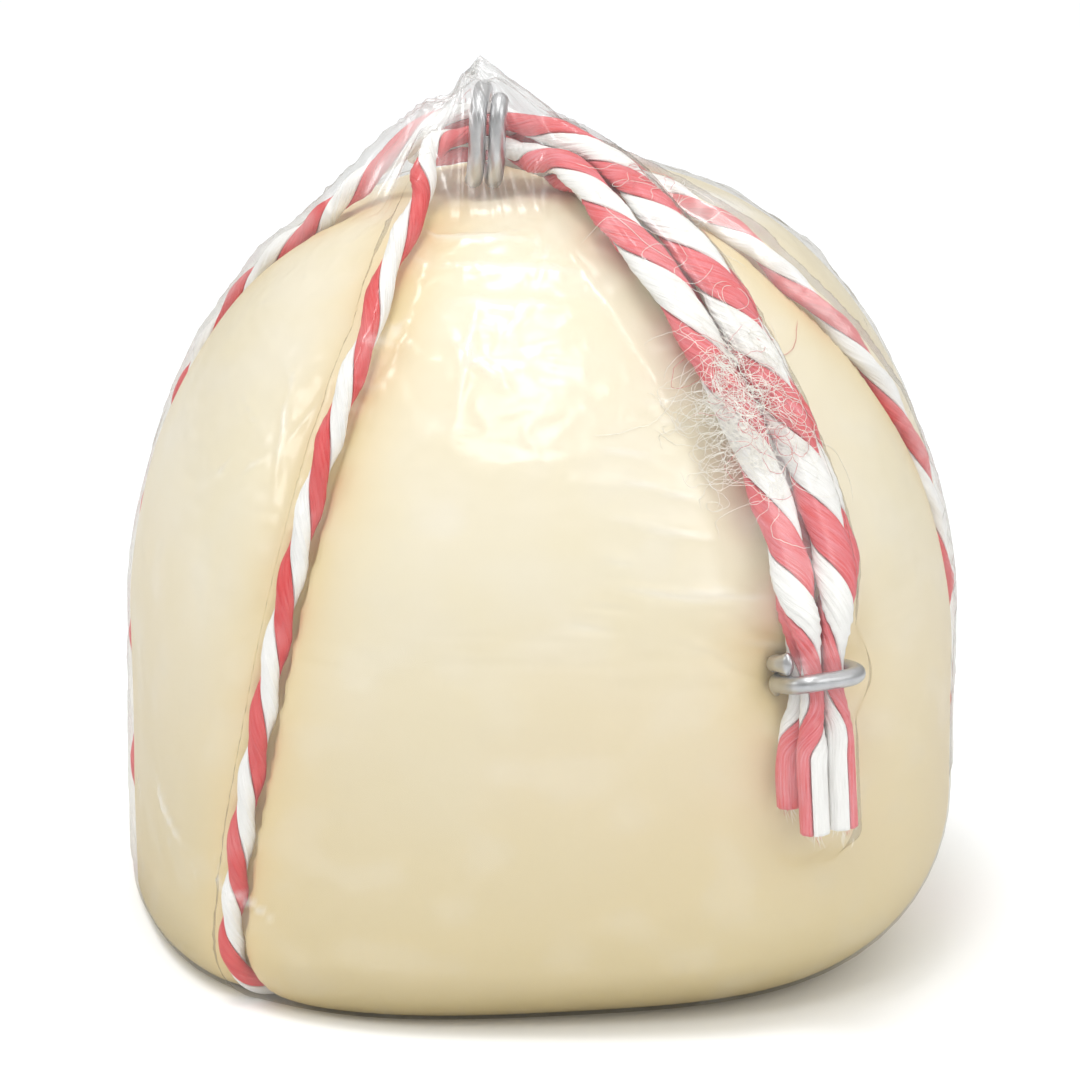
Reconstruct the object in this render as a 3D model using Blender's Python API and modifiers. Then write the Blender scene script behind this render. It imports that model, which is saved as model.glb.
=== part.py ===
"""A small stretched-curd cheese, tied with two lengths of red and white twine and sealed in clear film.

The cheese stands on its flat base. The front is -Y and the right is +X. An azimuth is an angle in
degrees round the cheese: 0 at the front, 90 on the right. A "travel" says how far up the skin a point
is: 0 to 1 round the bottom edge, 1 to 2 up the wall, and 2 to 3 over the dome to the gathering point.
"""

import math

import bmesh
import bpy
import numpy as np

MM = 0.001

# Cheese
CHEESE_RADIUS = 59.3 * MM
WIDEST_HEIGHT = 42.3 * MM
DOME_HEIGHT = 66.0 * MM
DOME_SIDE_POWER = 2.5
DOME_TOP_POWER = 1.83
# Lobes round the plan outline: how many, and their cosine and sine shares of the radius
OUTLINE_LOBES = ((2, -0.0155, 0.0294), (3, 0.0289, 0.0053), (4, -0.0509, -0.0107))
EDGE_RADIUS = 12.5 * MM
EDGE_RADIUS_TO_RIGHT = 10.1 * MM
EDGE_RADIUS_TO_FRONT = 3.0 * MM
GATHER_X, GATHER_Y = -7.8 * MM, -4.0 * MM
DIMPLE_DEPTH = 2.6 * MM
DIMPLE_RADIUS = 13.0 * MM
CHEESE_COLUMNS = 44
CHEESE_TRAVELS = (0.0, 0.25, 0.5, 0.75, 1.0, 1.5, 2.0, 2.11, 2.22, 2.33, 2.44, 2.55, 2.66, 2.77, 2.88, 2.95)

# Twine: two half-round plies, laid side by side and twisted. Each of the two lengths goes up the cheese
# as two strands, named here.
LENGTHS = {"one": ("left", "right"), "two": ("front_left", "back")}
TWINE_RADIUS = 2.0 * MM
PLY_GAP = 0.3 * MM
PLY_EDGE_SHARE = 0.9
ARC_STEPS = 4
# The twist is counted from the direction away from here
HEART = (0.0, 0.0, 45.0 * MM)
LOOP_PITCH = {"one": 21.3 * MM, "two": 18.8 * MM}
TAIL_PITCH = 21.0 * MM
STRAND_GAP = 0.3 * MM
TAIL_SPREAD = 1.3 * MM
TAIL_SHIFT = 2.0 * MM
TAIL_LEAN = math.radians(12)
LEAN_AT_CLIP = math.radians(45)
LEAN_PAST_CLIP = math.radians(75)
STEPS_PER_TURN = 5.0
START_TURNS = {"one": 0.94, "two": 0.05}
TOP_SQUEEZE = 0.86
TAIL_SQUEEZE = 0.76
TAIL_FULLNESS = 1.15
TAIL_WIDTH = 1.25
TAIL_HEIGHT = 0.72
BED_CLEARANCE = 0.75 * MM
UNDER_LIFT = 2.2 * MM
CROSSING_LIFT = 4.6 * MM
CROSSING_REACH = 9.0 * MM
BED_MOUTH = 0.6 * MM
BED_NEAR_BASE = (0.70 * CHEESE_RADIUS, 0.86 * CHEESE_RADIUS)
FOOT_HEIGHT = 10.0 * MM

# Clips: a bent aluminium wire whose two ends lie side by side
WIRE_RADIUS = 1.2 * MM
WIRE_PITCH = 2.75 * MM
TOP_CLIP_HEIGHT = 114.1 * MM
TOP_CLIP_HALF_WIDTH = 5.95 * MM
TOP_CLIP_HALF_HEIGHT = 6.0 * MM
TOP_CLIP_START, TOP_CLIP_OVERLAP = -80, 150
TAIL_CLIP_TRAVEL = 2.12
TAIL_CLIP_HALF_WIDTH = 4.7 * MM
TAIL_CLIP_HALF_HEIGHT = 4.65 * MM
TAIL_CLIP_START, TAIL_CLIP_OVERLAP = -60, 70
TAIL_CLIP_SINK = 0.7 * MM
CLIP_SQUARENESS = 0.55
CLIP_BED_SQUARENESS = 0.4
CLIP_BED_MARGIN = 1.9 * MM

# Film
FILM_THICKNESS = 0.5 * MM
FILM_GAP = 0.35 * MM
FILM_CLEARANCE = 0.45 * MM
FILM_SLOPE = 1.1
FILM_CLIP_SLOPE = 1.0
FILM_FLAT = 2.4 * MM
FILM_RIM_HEIGHT = 1.0 * MM
PEAK_HEIGHT = 124.6 * MM
FILM_TRAVELS = (1.08, 1.44, 1.72, 2.0, 2.07, 2.17, 2.27, 2.37, 2.47, 2.57, 2.66, 2.74, 2.80, 2.86, 2.91,
                2.95, 2.98)
FILM_EDGE_SHARES = (0, 0.25, 0.5, 0.75)
# The film's columns beside a strand and beside the tail, as distances from its middle, how many more
# there are between one ridge and the next, and the share of that room that the first ones may take
BESIDE_STRAND = (2.9 * MM, 7.5 * MM)
BESIDE_TAIL = (3.0 * MM, 6.8 * MM, 12.5 * MM)
COLUMNS_BETWEEN = (3, 5, 2, 3, 7)
ROOM_SHARE = 0.86

# Where each strand runs: azimuths at the travels in STRAND_TRAVELS
STRAND_TRAVELS = (0.0, 1.0, 1.5, 2.0, 2.3, 2.6, 2.78)
STRAND_AZIMUTHS = {
    "left": (-110, -105, -105, -108, -109, -99, -91),
    "front_left": (-44, -46.5, -43.5, -39.3, -34.8, -30.5, -33.5),
    "right": (103, 89, 88, 86, 75.5, 65, 68),
    "back": (158, 154, 151, 151, 152, 153, 154),
}
# How far a strand's centre is off the wall and off the top, and the travels between which that changes
STRAND_LIFTS = {
    "left": (-1.0 * MM, 0.4 * MM, 2.5, 2.8),
    "front_left": (0.2 * MM, 2.3 * MM, 2.1, 2.7),
    "right": (-0.8 * MM, 0.8 * MM, 2.1, 2.7),
    "back": (-0.2 * MM, 0.6 * MM, 2.1, 2.7),
}
TAIL_TRAVELS = (1.46, 2.0, 2.12, 2.3, 2.55, 2.76)
TAIL_AZIMUTHS = (34.0, 33.4, 33.8, 35.4, 33.9, 34.3)
TAIL_LIFT = 4.95 * MM
TAIL_PRESSED = 1.0 * MM

# Free routes in the air, from where a strand leaves the dome to the clip, in millimetres
FREE_ROUTES = {
    "left": ((-28.3, -3, 104.2), (-24, -3.4, 108.2), (-19.4, -4.2, 112.4), (-15.2, -4.6, 115.8),
             (-11.6, -4.1, 116.8)),
    "front_left": ((-16.8, -17, 107.4), (-16.3, -11.6, 111.2), (-14.4, -8, 113.6), (-11.2, -6.7, 114.1)),
    "right": ((15.6, -8.9, 107.6), (8, -1.8, 109.9), (0, 5, 111.4), (-7.8, 7.4, 112.6), (-13, 5.6, 113.8),
              (-15.2, 2.2, 114.2), (-13.4, -1, 114.1), (-11, -1.4, 114.1)),
    "back": ((1.4, 16.8, 108.1), (-6, 12.8, 109.4), (-13, 8.6, 110), (-17, 3.4, 110.2), (-16.6, -1.2, 110.6),
             (-13.6, -3.6, 111.3), (-11.2, -4, 111.5)),
}
TAIL_FREE_ROUTE = ((-2.6, -4.6, 113.4), (3, -10.4, 111.5), (8, -18.4, 109.9))


def flat_direction(azimuth):
    """The level direction outwards at an azimuth."""
    angle = np.radians(azimuth)
    return np.stack([np.sin(angle), -np.cos(angle)], axis=-1)


def wall_radius(azimuth):
    """Distance of the wall from the middle."""
    angle = np.radians(azimuth)
    share = 1.0
    for lobes, cosine, sine in OUTLINE_LOBES:
        share = share + cosine * np.cos(lobes * angle) + sine * np.sin(lobes * angle)
    return CHEESE_RADIUS * share


def edge_radius(azimuth):
    """Radius of the rounding between the base and the wall."""
    angle = np.radians(azimuth)
    return EDGE_RADIUS + EDGE_RADIUS_TO_RIGHT * np.sin(angle) + EDGE_RADIUS_TO_FRONT * np.cos(angle)


def dome_height(flat):
    """Height of the dome over points of the plan, found by halving."""
    azimuth = np.degrees(np.arctan2(flat[..., 0], -flat[..., 1]))
    radius = np.hypot(flat[..., 0], flat[..., 1])
    lobes = wall_radius(azimuth) / CHEESE_RADIUS - 1
    low, high = np.zeros_like(radius), np.ones_like(radius)
    for _ in range(40):
        middle = (low + high) / 2
        round_share = (1 - middle**DOME_TOP_POWER) ** (1 / DOME_SIDE_POWER)
        outside = CHEESE_RADIUS * (1 + lobes * (1 - middle)) * round_share > radius
        low, high = np.where(outside, middle, low), np.where(outside, high, middle)
    from_gather = np.hypot(flat[..., 0] - GATHER_X, flat[..., 1] - GATHER_Y)
    dimple = DIMPLE_DEPTH * np.exp(-((from_gather / DIMPLE_RADIUS) ** 2))
    return WIDEST_HEIGHT + DOME_HEIGHT * low - dimple


def skin_point(azimuth, travel):
    """Points of the cheese's skin at these azimuths and travels."""
    azimuth, travel = np.broadcast_arrays(np.asarray(azimuth, float), np.asarray(travel, float))
    wall, edge = wall_radius(azimuth), edge_radius(azimuth)
    turn = np.clip(travel, 0, 1) * math.pi / 2
    radius = wall - edge * (1 - np.sin(turn))
    height = edge * (1 - np.cos(turn)) + np.clip(travel - 1, 0, 1) * (WIDEST_HEIGHT - edge)
    flat = flat_direction(azimuth) * radius[..., None]
    lean = np.clip(travel - 2, 0, 1) * math.pi / 2
    reach = np.maximum(np.cos(lean), 0) ** (2 / DOME_SIDE_POWER)
    gather = np.array([GATHER_X, GATHER_Y])
    dome_flat = gather + (flat_direction(azimuth) * wall[..., None] - gather) * reach[..., None]
    on_dome = travel > 2
    flat = np.where(on_dome[..., None], dome_flat, flat)
    height = np.where(on_dome, dome_height(dome_flat), height)
    return np.concatenate([flat, height[..., None]], axis=-1)


def skin_normal(azimuth, travel):
    """Outward directions there, from small steps along the skin."""
    side_step, up_step = 0.4, 0.01
    high_travel = np.minimum(np.asarray(travel, float) + up_step, 2.985)
    low_travel = np.maximum(high_travel - 2 * up_step, 0)
    across = skin_point(azimuth + side_step, travel) - skin_point(azimuth - side_step, travel)
    along = skin_point(azimuth, high_travel) - skin_point(azimuth, low_travel)
    normal = np.cross(across, along)
    return normal / np.maximum(np.linalg.norm(normal, axis=-1, keepdims=True), 1e-12)


def smooth_line(points, spacing):
    """A Catmull-Rom curve through the points, as points that lie evenly along it."""
    points = np.asarray(points, float)
    ends = np.concatenate([[2 * points[0] - points[1]], points, [2 * points[-1] - points[-2]]])
    share = np.linspace(0, 1, 16, endpoint=False)[:, None]
    fine = [
        0.5 * (2 * b + (c - a) * share + (2 * a - 5 * b + 4 * c - d) * share**2
               + (3 * b - a - 3 * c + d) * share**3)
        for a, b, c, d in zip(ends, ends[1:], ends[2:], ends[3:])
    ]
    fine = np.concatenate([*fine, points[-1:]])
    length = np.concatenate([[0], np.cumsum(np.linalg.norm(np.diff(fine, axis=0), axis=1))])
    count = max(2, round(length[-1] / spacing) + 1)
    even = np.linspace(0, length[-1], count)
    return np.stack([np.interp(even, length, fine[:, axis]) for axis in range(3)], axis=1)


def smooth_step(value, start, end):
    """Goes smoothly from 0 at start to 1 at end."""
    share = np.clip((value - start) / (end - start), 0, 1)
    return share * share * (3 - 2 * share)


def strand_azimuth(name, travel):
    return np.interp(travel, STRAND_TRAVELS, STRAND_AZIMUTHS[name])


def strand_on_skin(name):
    """The strand's centre from its foot under the bottom edge up to where it leaves the dome."""
    travel = np.concatenate([np.linspace(0, 1, 5)[:-1], np.linspace(1, 2, 5)[:-1], np.linspace(2, 2.74, 12)])
    azimuth = strand_azimuth(name, travel)
    wall_lift, top_lift, start, end = STRAND_LIFTS[name]
    lift = wall_lift + (top_lift - wall_lift) * smooth_step(travel, start, end)
    points = skin_point(azimuth, travel) + skin_normal(azimuth, travel) * lift[:, None]
    points[:, 2] = np.maximum(points[:, 2], UNDER_LIFT)
    return points


def strand_half_sizes(flat, size):
    """Half the width and half the height of a strand that the film presses flat, from 0 to 1."""
    radius = TWINE_RADIUS * size
    return radius * (1 + (TAIL_WIDTH - 1) * flat), radius * (1 - (1 - TAIL_HEIGHT) * flat)


def tail_slots(flat, spread, shift, size):
    """Places of the four strands across the tail, as (sideways, outwards) from its middle.

    Two lie on the cheese, shifted to one side or spread apart, and two lie on them."""
    side, out = (half + STRAND_GAP / 2 for half in strand_half_sizes(flat, size))
    apart = TAIL_SPREAD * spread * size
    high = math.sqrt((2 * out) ** 2 - apart**2) - out
    return {
        "front_left": (-side, high),
        "left": (side, high),
        "right": (side + apart + shift, -out),
        "back": (-side - apart + shift, -out),
    }


def tail_middle():
    """The tail's middle line and the outward direction along it, from the top clip to its cut end."""
    travel = np.linspace(TAIL_TRAVELS[-1], TAIL_TRAVELS[0], 12)
    azimuth = np.interp(travel, TAIL_TRAVELS, TAIL_AZIMUTHS)
    outward = skin_normal(azimuth, travel)
    lift = TAIL_LIFT - TAIL_CLIP_SINK * np.exp(-(((travel - TAIL_CLIP_TRAVEL) / 0.12) ** 2))
    on_skin = skin_point(azimuth, travel) + outward * lift[:, None]
    clip = np.array([[GATHER_X, GATHER_Y, TOP_CLIP_HEIGHT]])
    points = np.concatenate([clip, np.array(TAIL_FREE_ROUTE) * MM, on_skin])
    up = np.array([[0.0, 0.0, 1.0]])
    outward = np.concatenate([up, up, up, up, outward])
    line = smooth_line(points, 1.5 * MM)
    nearest = np.linalg.norm(line[:, None] - points[None], axis=2)
    weight = 1 / (nearest**2 + (2 * MM) ** 2)
    outward = (weight[:, :, None] * outward[None]).sum(axis=1)
    return line, outward / np.linalg.norm(outward, axis=1, keepdims=True)


def tail_clip_index(line):
    """Which point of the tail's middle line the lower clip goes round."""
    azimuth = np.interp(TAIL_CLIP_TRAVEL, TAIL_TRAVELS, TAIL_AZIMUTHS)
    return int(np.linalg.norm(line - skin_point(azimuth, TAIL_CLIP_TRAVEL), axis=1).argmin())


def tail_strands():
    """Each strand along the tail, from the top clip outwards.

    Gives its centre, relative thickness, flatness from 0 to 1, and the directions across and up it."""
    line, outward = tail_middle()
    heading = np.gradient(line, axis=0)
    heading /= np.linalg.norm(heading, axis=1, keepdims=True)
    sideways = np.cross(outward, heading)
    sideways /= np.linalg.norm(sideways, axis=1, keepdims=True)
    outward = np.cross(heading, sideways)
    run = np.concatenate([[0], np.cumsum(np.linalg.norm(np.diff(line, axis=0), axis=1))]) / MM
    clip = tail_clip_index(line)
    from_clip = np.abs(run - run[clip])
    above = np.arange(len(line)) < clip
    off_clip = smooth_step(from_clip, 3.5, 14)
    full = 1 + (TAIL_FULLNESS - 1) * smooth_step(run, 22, 46) * above
    size = (full - (full - TOP_SQUEEZE) * (1 - smooth_step(run, 3.5, 10))
            - (full - TAIL_SQUEEZE) * (1 - smooth_step(from_clip, 2.5, 9)))
    flat = smooth_step(run, 9, 22) * off_clip * above
    spread = off_clip * ~above
    shift = TAIL_SHIFT * smooth_step(run, 8, 18) * off_clip * above
    pressed = TAIL_PRESSED * smooth_step(run, 18, 34) * smooth_step(from_clip, 7, 20) * above
    lean = LEAN_AT_CLIP + (LEAN_PAST_CLIP - LEAN_AT_CLIP) * smooth_step(run, 3, 9)
    lean = TAIL_LEAN + (lean - TAIL_LEAN) * (1 - smooth_step(run, 6, 18))
    lean = lean * smooth_step(from_clip, 2, 12) * above
    strands = {name: ([], [], [], []) for name in STRAND_AZIMUTHS}
    for index in range(len(line)):
        cosine, sine = math.cos(lean[index]), math.sin(lean[index])
        across = cosine * sideways[index] + sine * outward[index]
        up = cosine * outward[index] - sine * sideways[index]
        middle = line[index] - outward[index] * pressed[index]
        slots = tail_slots(flat[index], spread[index], shift[index], size[index])
        for name, (side, out) in slots.items():
            for kept, value in zip(strands[name], (middle + across * side + up * out, size[index],
                                                   flat[index], (across, up))):
                kept.append(value)
    return {name: [np.array(kept) for kept in strand] for name, strand in strands.items()}


def at_bends(line, angle=10.0, longest=9 * MM):
    """The points of a line where it has turned by the angle, or has run that long, since the last one."""
    heading = np.diff(line, axis=0)
    heading /= np.linalg.norm(heading, axis=1, keepdims=True)
    kept, run = [0], 0.0
    for index in range(1, len(line) - 1):
        run += np.linalg.norm(line[index] - line[index - 1])
        turned = math.degrees(math.acos(min(1.0, heading[index] @ heading[kept[-1]])))
        if turned > angle or run > longest:
            kept.append(index)
            run = 0.0
    return line[kept + [len(line) - 1]]


def under_base(start, end, crossing=None):
    """The stretch under the cheese between two feet, which rises over the other twine at the crossing."""
    share = np.linspace(0, 1, 22)[1:-1, None]
    points = start + (end - start) * share
    points[:, 2] = UNDER_LIFT
    if crossing is not None:
        away = np.linalg.norm(points[:, :2] - crossing, axis=1)
        points[:, 2] += CROSSING_LIFT * np.exp(-((away / CROSSING_REACH) ** 2))
    return points


def twine_line(length, tails, crossing=None):
    """One length of twine: tail, top clip, first strand down, under the base, second strand up, clip, tail.

    Gives points that lie evenly along it, their relative thickness, how far each has turned, and how
    flat it is pressed there, with the directions across and up it."""
    first, second = LENGTHS[length]
    feet, strands = {}, {}
    for name in (first, second):
        skin = strand_on_skin(name)
        strands[name] = np.concatenate([skin, np.array(FREE_ROUTES[name]) * MM])
        feet[name] = skin[0]
    under = under_base(feet[first], feet[second], crossing)
    tail_a, tail_b = tails[first][0], tails[second][0]
    rough = np.concatenate([tail_a[::-3][:-1], tail_a[:1], strands[first][::-1], under, strands[second],
                            tail_b[:1], tail_b[::3][1:]])
    line = smooth_line(rough, 1.0 * MM)
    for _ in range(24):
        low = (line[:, 2] < FOOT_HEIGHT)[1:-1, None]
        line[1:-1] = np.where(low, (line[:-2] + line[1:-1] * 2 + line[2:]) / 4, line[1:-1])
    line[:, 2] = np.maximum(line[:, 2], UNDER_LIFT)
    in_clip = np.linalg.norm(line - np.array([GATHER_X, GATHER_Y, TOP_CLIP_HEIGHT]), axis=1) / MM
    size = TOP_SQUEEZE + (1 - TOP_SQUEEZE) * smooth_step(in_clip, 4.5, 9)
    tail_points, tail_sizes, tail_flats, tail_axes = (np.concatenate(both)
                                                      for both in zip(tails[first], tails[second]))
    gaps = np.linalg.norm(line[:, None] - tail_points[None], axis=2)
    nearest = gaps.argmin(axis=1)
    on_tail = gaps.min(axis=1) < 1.2 * MM
    size = np.where(on_tail, tail_sizes[nearest], size)
    flat = np.where(on_tail, tail_flats[nearest], 0.0)
    step = np.linalg.norm(np.diff(line, axis=0), axis=1)
    pitch = np.where(on_tail, TAIL_PITCH, LOOP_PITCH[length])[1:]
    turned = np.concatenate([[0], np.cumsum(step / pitch)])
    return line, size, turned, flat, tail_axes[nearest]


def thin_out(turned, *values):
    """Even turns of the twist, STEPS_PER_TURN to each, and the values there."""
    count = round(turned[-1] * STEPS_PER_TURN) + 1
    even = np.linspace(0, turned[-1], count)
    place = np.interp(even, turned, np.arange(len(turned)))
    before = np.minimum(place.astype(int), len(turned) - 2)
    mixed = []
    for value in values:
        share = (place - before).reshape(-1, *[1] * (value.ndim - 1))
        mixed.append(value[before] * (1 - share) + value[before + 1] * share)
    return even, mixed


def twist_frame(line):
    """The directions out of the cheese and sideways along a strand, both square to it."""
    heading = np.gradient(line, axis=0)
    heading /= np.linalg.norm(heading, axis=1, keepdims=True)
    sideways = np.cross(line - np.array(HEART), heading)
    sideways /= np.linalg.norm(sideways, axis=1, keepdims=True)
    return np.cross(heading, sideways), sideways


def ply_sections(facing, start, line, size, turned, flat, axes):
    """The half-round sections of one ply, on the side that facing says, turned by the twist.

    Where the film presses the tail flat, they are wider and lower."""
    turns, values = thin_out(turned, line, size, flat, axes, *twist_frame(line))
    points, sizes, flats, axes, outward, sideways = (value[:, None] for value in values)
    angle = (turns[:, None, None] + start) * math.tau
    towards = np.cos(angle) * outward + np.sin(angle) * sideways
    beside = np.cos(angle) * sideways - np.sin(angle) * outward
    edge = math.acos(PLY_GAP / 2 / (TWINE_RADIUS * PLY_EDGE_SHARE))
    arc = np.linspace(edge, -edge, ARC_STEPS + 1)
    radius = TWINE_RADIUS * (1 - (1 - PLY_EDGE_SHARE) * (arc / edge) ** 2)[:, None]
    arc, sizes, flats = arc[:, None], sizes[..., None], flats[..., None]
    offset = facing * sizes * radius * (np.cos(arc) * towards + np.sin(arc) * beside)
    across, up = axes[:, :, 0], axes[:, :, 1]
    wider = across * (offset * across).sum(axis=2, keepdims=True) * (TAIL_WIDTH - 1)
    lower = up * (offset * up).sum(axis=2, keepdims=True) * (1 - TAIL_HEIGHT)
    return points + offset + (wider - lower) * flats


def clip_line(middle, axis, side, up, half_width, half_height, start, overlap):
    """The centre of a clip's wire: a rounded box whose ends pass each other by the overlap angle."""
    angle = np.radians(np.linspace(start, start + 360 + overlap, 28))
    across = np.sign(np.cos(angle)) * np.abs(np.cos(angle)) ** CLIP_SQUARENESS * half_width
    upward = np.sign(np.sin(angle)) * np.abs(np.sin(angle)) ** CLIP_SQUARENESS * half_height
    drift = (np.linspace(0, 1, len(angle)) - 0.5) * WIRE_PITCH * (360 + overlap) / 360
    return middle + np.outer(across, side) + np.outer(upward, up) + np.outer(drift, axis)


def film_columns(travel):
    """The azimuths of the film's columns at one travel, with columns along both sides of each strand."""
    ridges = [
        (strand_azimuth("left", travel), BESIDE_STRAND),
        (strand_azimuth("front_left", travel), BESIDE_STRAND),
        (float(np.interp(travel, TAIL_TRAVELS, TAIL_AZIMUTHS)), BESIDE_TAIL),
        (strand_azimuth("right", travel), BESIDE_STRAND),
        (strand_azimuth("back", travel), BESIDE_STRAND),
    ]
    reach = math.cos(max(travel - 2, 0) * math.pi / 2) ** (2 / DOME_SIDE_POWER)
    columns = []
    for index, (azimuth, offsets) in enumerate(ridges):
        next_azimuth, next_offsets = ridges[(index + 1) % len(ridges)]
        last_azimuth, last_offsets = ridges[index - 1]
        degrees = np.degrees(1 / (CHEESE_RADIUS * reach))
        room_after, room_before = (next_azimuth - azimuth) % 360, (azimuth - last_azimuth) % 360
        share_after = min(1, ROOM_SHARE * room_after / ((offsets[-1] + next_offsets[-1]) * degrees))
        share_before = min(1, ROOM_SHARE * room_before / ((offsets[-1] + last_offsets[-1]) * degrees))
        columns += [azimuth - offset * degrees * share_before for offset in offsets[::-1]]
        columns += [azimuth + offset * degrees * share_after for offset in offsets]
        start = azimuth + offsets[-1] * degrees * share_after
        end = azimuth + room_after - next_offsets[-1] * degrees * share_after
        columns += list(np.linspace(start, end, COLUMNS_BETWEEN[index] + 2)[1:-1])
    return np.array(columns)


def film_lift(points, normals, contents):
    """How far the film stands off the skin: it is tented over whatever lies on the cheese."""
    shape = points.shape[:-1]
    points, normals = points.reshape(-1, 3), normals.reshape(-1, 3)
    lift = np.full(len(points), FILM_GAP)
    for places, radius, slope, flat in contents:
        offset = places[None] - points[:, None]
        height = (offset * normals[:, None]).sum(axis=2)
        aside = np.sqrt(np.maximum((offset**2).sum(axis=2) - height**2, 0))
        tent = height + radius + FILM_CLEARANCE - slope * np.maximum(aside - flat, 0)
        lift = np.maximum(lift, tent.max(axis=1))
    return lift.reshape(shape)


def facet_samples(steps=4):
    """Shares of a facet's four corners at points of it, whichever diagonal splits it."""
    samples = set()
    for row in range(steps + 1):
        for column in range(steps + 1):
            up, across = row / steps, column / steps
            low, high = min(up, across), max(up, across)
            rest = (high - low, 0.0) if up < across else (0.0, high - low)
            samples.add((1 - high, rest[0], rest[1], low))
            across = 1 - across
            low, high = min(up, across), max(up, across)
            rest = (high - low, 0.0) if up < across else (0.0, high - low)
            samples.add((rest[0], 1 - high, low, rest[1]))
    return sorted(samples)


def film_points(azimuth, travel, contents):
    """The film's inner surface at these azimuths and travels, pushed out where a flat facet would cut in."""
    skin, normal = skin_point(azimuth, travel), skin_normal(azimuth, travel)
    lift = film_lift(skin, normal, contents)
    around = np.concatenate([azimuth, azimuth[:, :1] + 360], axis=1)
    up_around = np.concatenate([travel, travel[:, :1]], axis=1)

    def mix(grid, shares):
        corners = (grid[:-1, :-1], grid[:-1, 1:], grid[1:, :-1], grid[1:, 1:])
        return sum(share * corner for share, corner in zip(shares, corners))

    for _ in range(3):
        points = skin + normal * lift[..., None]
        ring = np.concatenate([points, points[:, :1]], axis=1)
        push = np.zeros(ring.shape[:2])
        for shares in facet_samples():
            place, at, up = mix(ring, shares), mix(around, shares), mix(up_around, shares)
            under, outward = skin_point(at, up), skin_normal(at, up)
            need = film_lift(under, outward, contents) - ((place - under) * outward).sum(axis=-1)
            for share, row, column in zip(shares, (0, 0, 1, 1), (0, 1, 0, 1)):
                if share >= 0.24:
                    corner = push[row:row + need.shape[0], column:column + need.shape[1]]
                    np.maximum(corner, need, out=corner)
        push[:, 0] = push[:, -1] = np.maximum(push[:, 0], push[:, -1])
        lift = lift + push[:, :-1]
    return skin + normal * lift[..., None]


def clear_scene():
    """Removes whatever is in the scene."""
    for item in list(bpy.data.objects):
        bpy.data.objects.remove(item)


def new_collection(name):
    """An empty collection in the scene."""
    collection = bpy.data.collections.new(name)
    bpy.context.scene.collection.children.link(collection)
    return collection


def material(name, colour, roughness, metallic=0.0, alpha=1.0):
    """A Principled material of one plain finish."""
    made = bpy.data.materials.new(name)
    made.use_nodes = True
    shader = made.node_tree.nodes["Principled BSDF"]
    shader.inputs["Base Color"].default_value = (*colour, 1.0)
    shader.inputs["Roughness"].default_value = roughness
    shader.inputs["Metallic"].default_value = metallic
    shader.inputs["Alpha"].default_value = alpha
    return made


def place_sphere(name, columns, rows, place, collection, finish, open_below=False):
    """A UV sphere whose points are moved by place(column, row), with rows counted up from the bottom pole."""
    mesh = bpy.data.meshes.new(name)
    shape = bmesh.new()
    bmesh.ops.create_uvsphere(shape, u_segments=columns, v_segments=rows, radius=1.0)
    if open_below:
        lowest = min(shape.verts, key=lambda point: point.co.z)
        bmesh.ops.delete(shape, geom=[lowest], context="VERTS")
    for point in shape.verts:
        row = round((math.asin(max(-1, min(1, point.co.z))) / math.pi + 0.5) * rows)
        column = round(math.atan2(point.co.x, -point.co.y) / math.tau * columns) % columns
        point.co = place(column, row)
    bmesh.ops.recalc_face_normals(shape, faces=shape.faces)
    shape.to_mesh(mesh)
    shape.free()
    mesh.shade_smooth()
    made = bpy.data.objects.new(name, mesh)
    made.data.materials.append(finish)
    collection.objects.link(made)
    return made


def tube(name, points, radii, collection):
    """A round wire along the points, as a poly line curve with a bevel and a radius at each point."""
    data = bpy.data.curves.new(name, "CURVE")
    data.dimensions = "3D"
    data.use_fill_caps = True
    data.bevel_depth = 1.0
    data.bevel_resolution = 1
    spline = data.splines.new("POLY")
    spline.points.add(len(points) - 1)
    for index, (point, radius) in enumerate(zip(points, radii)):
        spline.points[index].co = (*point, 1.0)
        spline.points[index].radius = radius
    made = bpy.data.objects.new(name, data)
    collection.objects.link(made)
    return made


def solid_tube(name, points, radii, collection):
    """A round tube as a welded mesh, for a Boolean."""
    curve = tube(name, points, radii, collection)
    graph = bpy.context.evaluated_depsgraph_get()
    mesh = bpy.data.meshes.new_from_object(curve.evaluated_get(graph))
    bpy.data.objects.remove(curve)
    shape = bmesh.new()
    shape.from_mesh(mesh)
    bmesh.ops.remove_doubles(shape, verts=shape.verts, dist=0.01 * MM)
    bmesh.ops.recalc_face_normals(shape, faces=shape.faces)
    shape.to_mesh(mesh)
    shape.free()
    made = bpy.data.objects.new(name, mesh)
    collection.objects.link(made)
    made.hide_render = True
    made.display_type = "WIRE"
    return made


def loft(name, sections, collection, finish):
    """A closed body through half-round sections, whose last side is the flat one.

    Each flat side is split along the diagonal that dips into the body, so that it clears its partner."""
    mesh = bpy.data.meshes.new(name)
    shape = bmesh.new()
    rings = [[shape.verts.new(corner) for corner in section] for section in sections]
    for ring, following in zip(rings, rings[1:]):
        for low, high in zip(range(ARC_STEPS), range(1, ARC_STEPS + 1)):
            shape.faces.new((ring[low], ring[high], following[high], following[low]))
        shape.faces.new((ring[-1], ring[0], following[-1]))
        shape.faces.new((ring[0], following[0], following[-1]))
    shape.faces.new(rings[0])
    shape.faces.new(rings[-1])
    bmesh.ops.recalc_face_normals(shape, faces=shape.faces)
    shape.to_mesh(mesh)
    shape.free()
    mesh.materials.append(finish)
    made = bpy.data.objects.new(name, mesh)
    collection.objects.link(made)
    facets = made.modifiers.new("facets", "TRIANGULATE")
    facets.quad_method = "SHORTEST_DIAGONAL"
    return made


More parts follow.
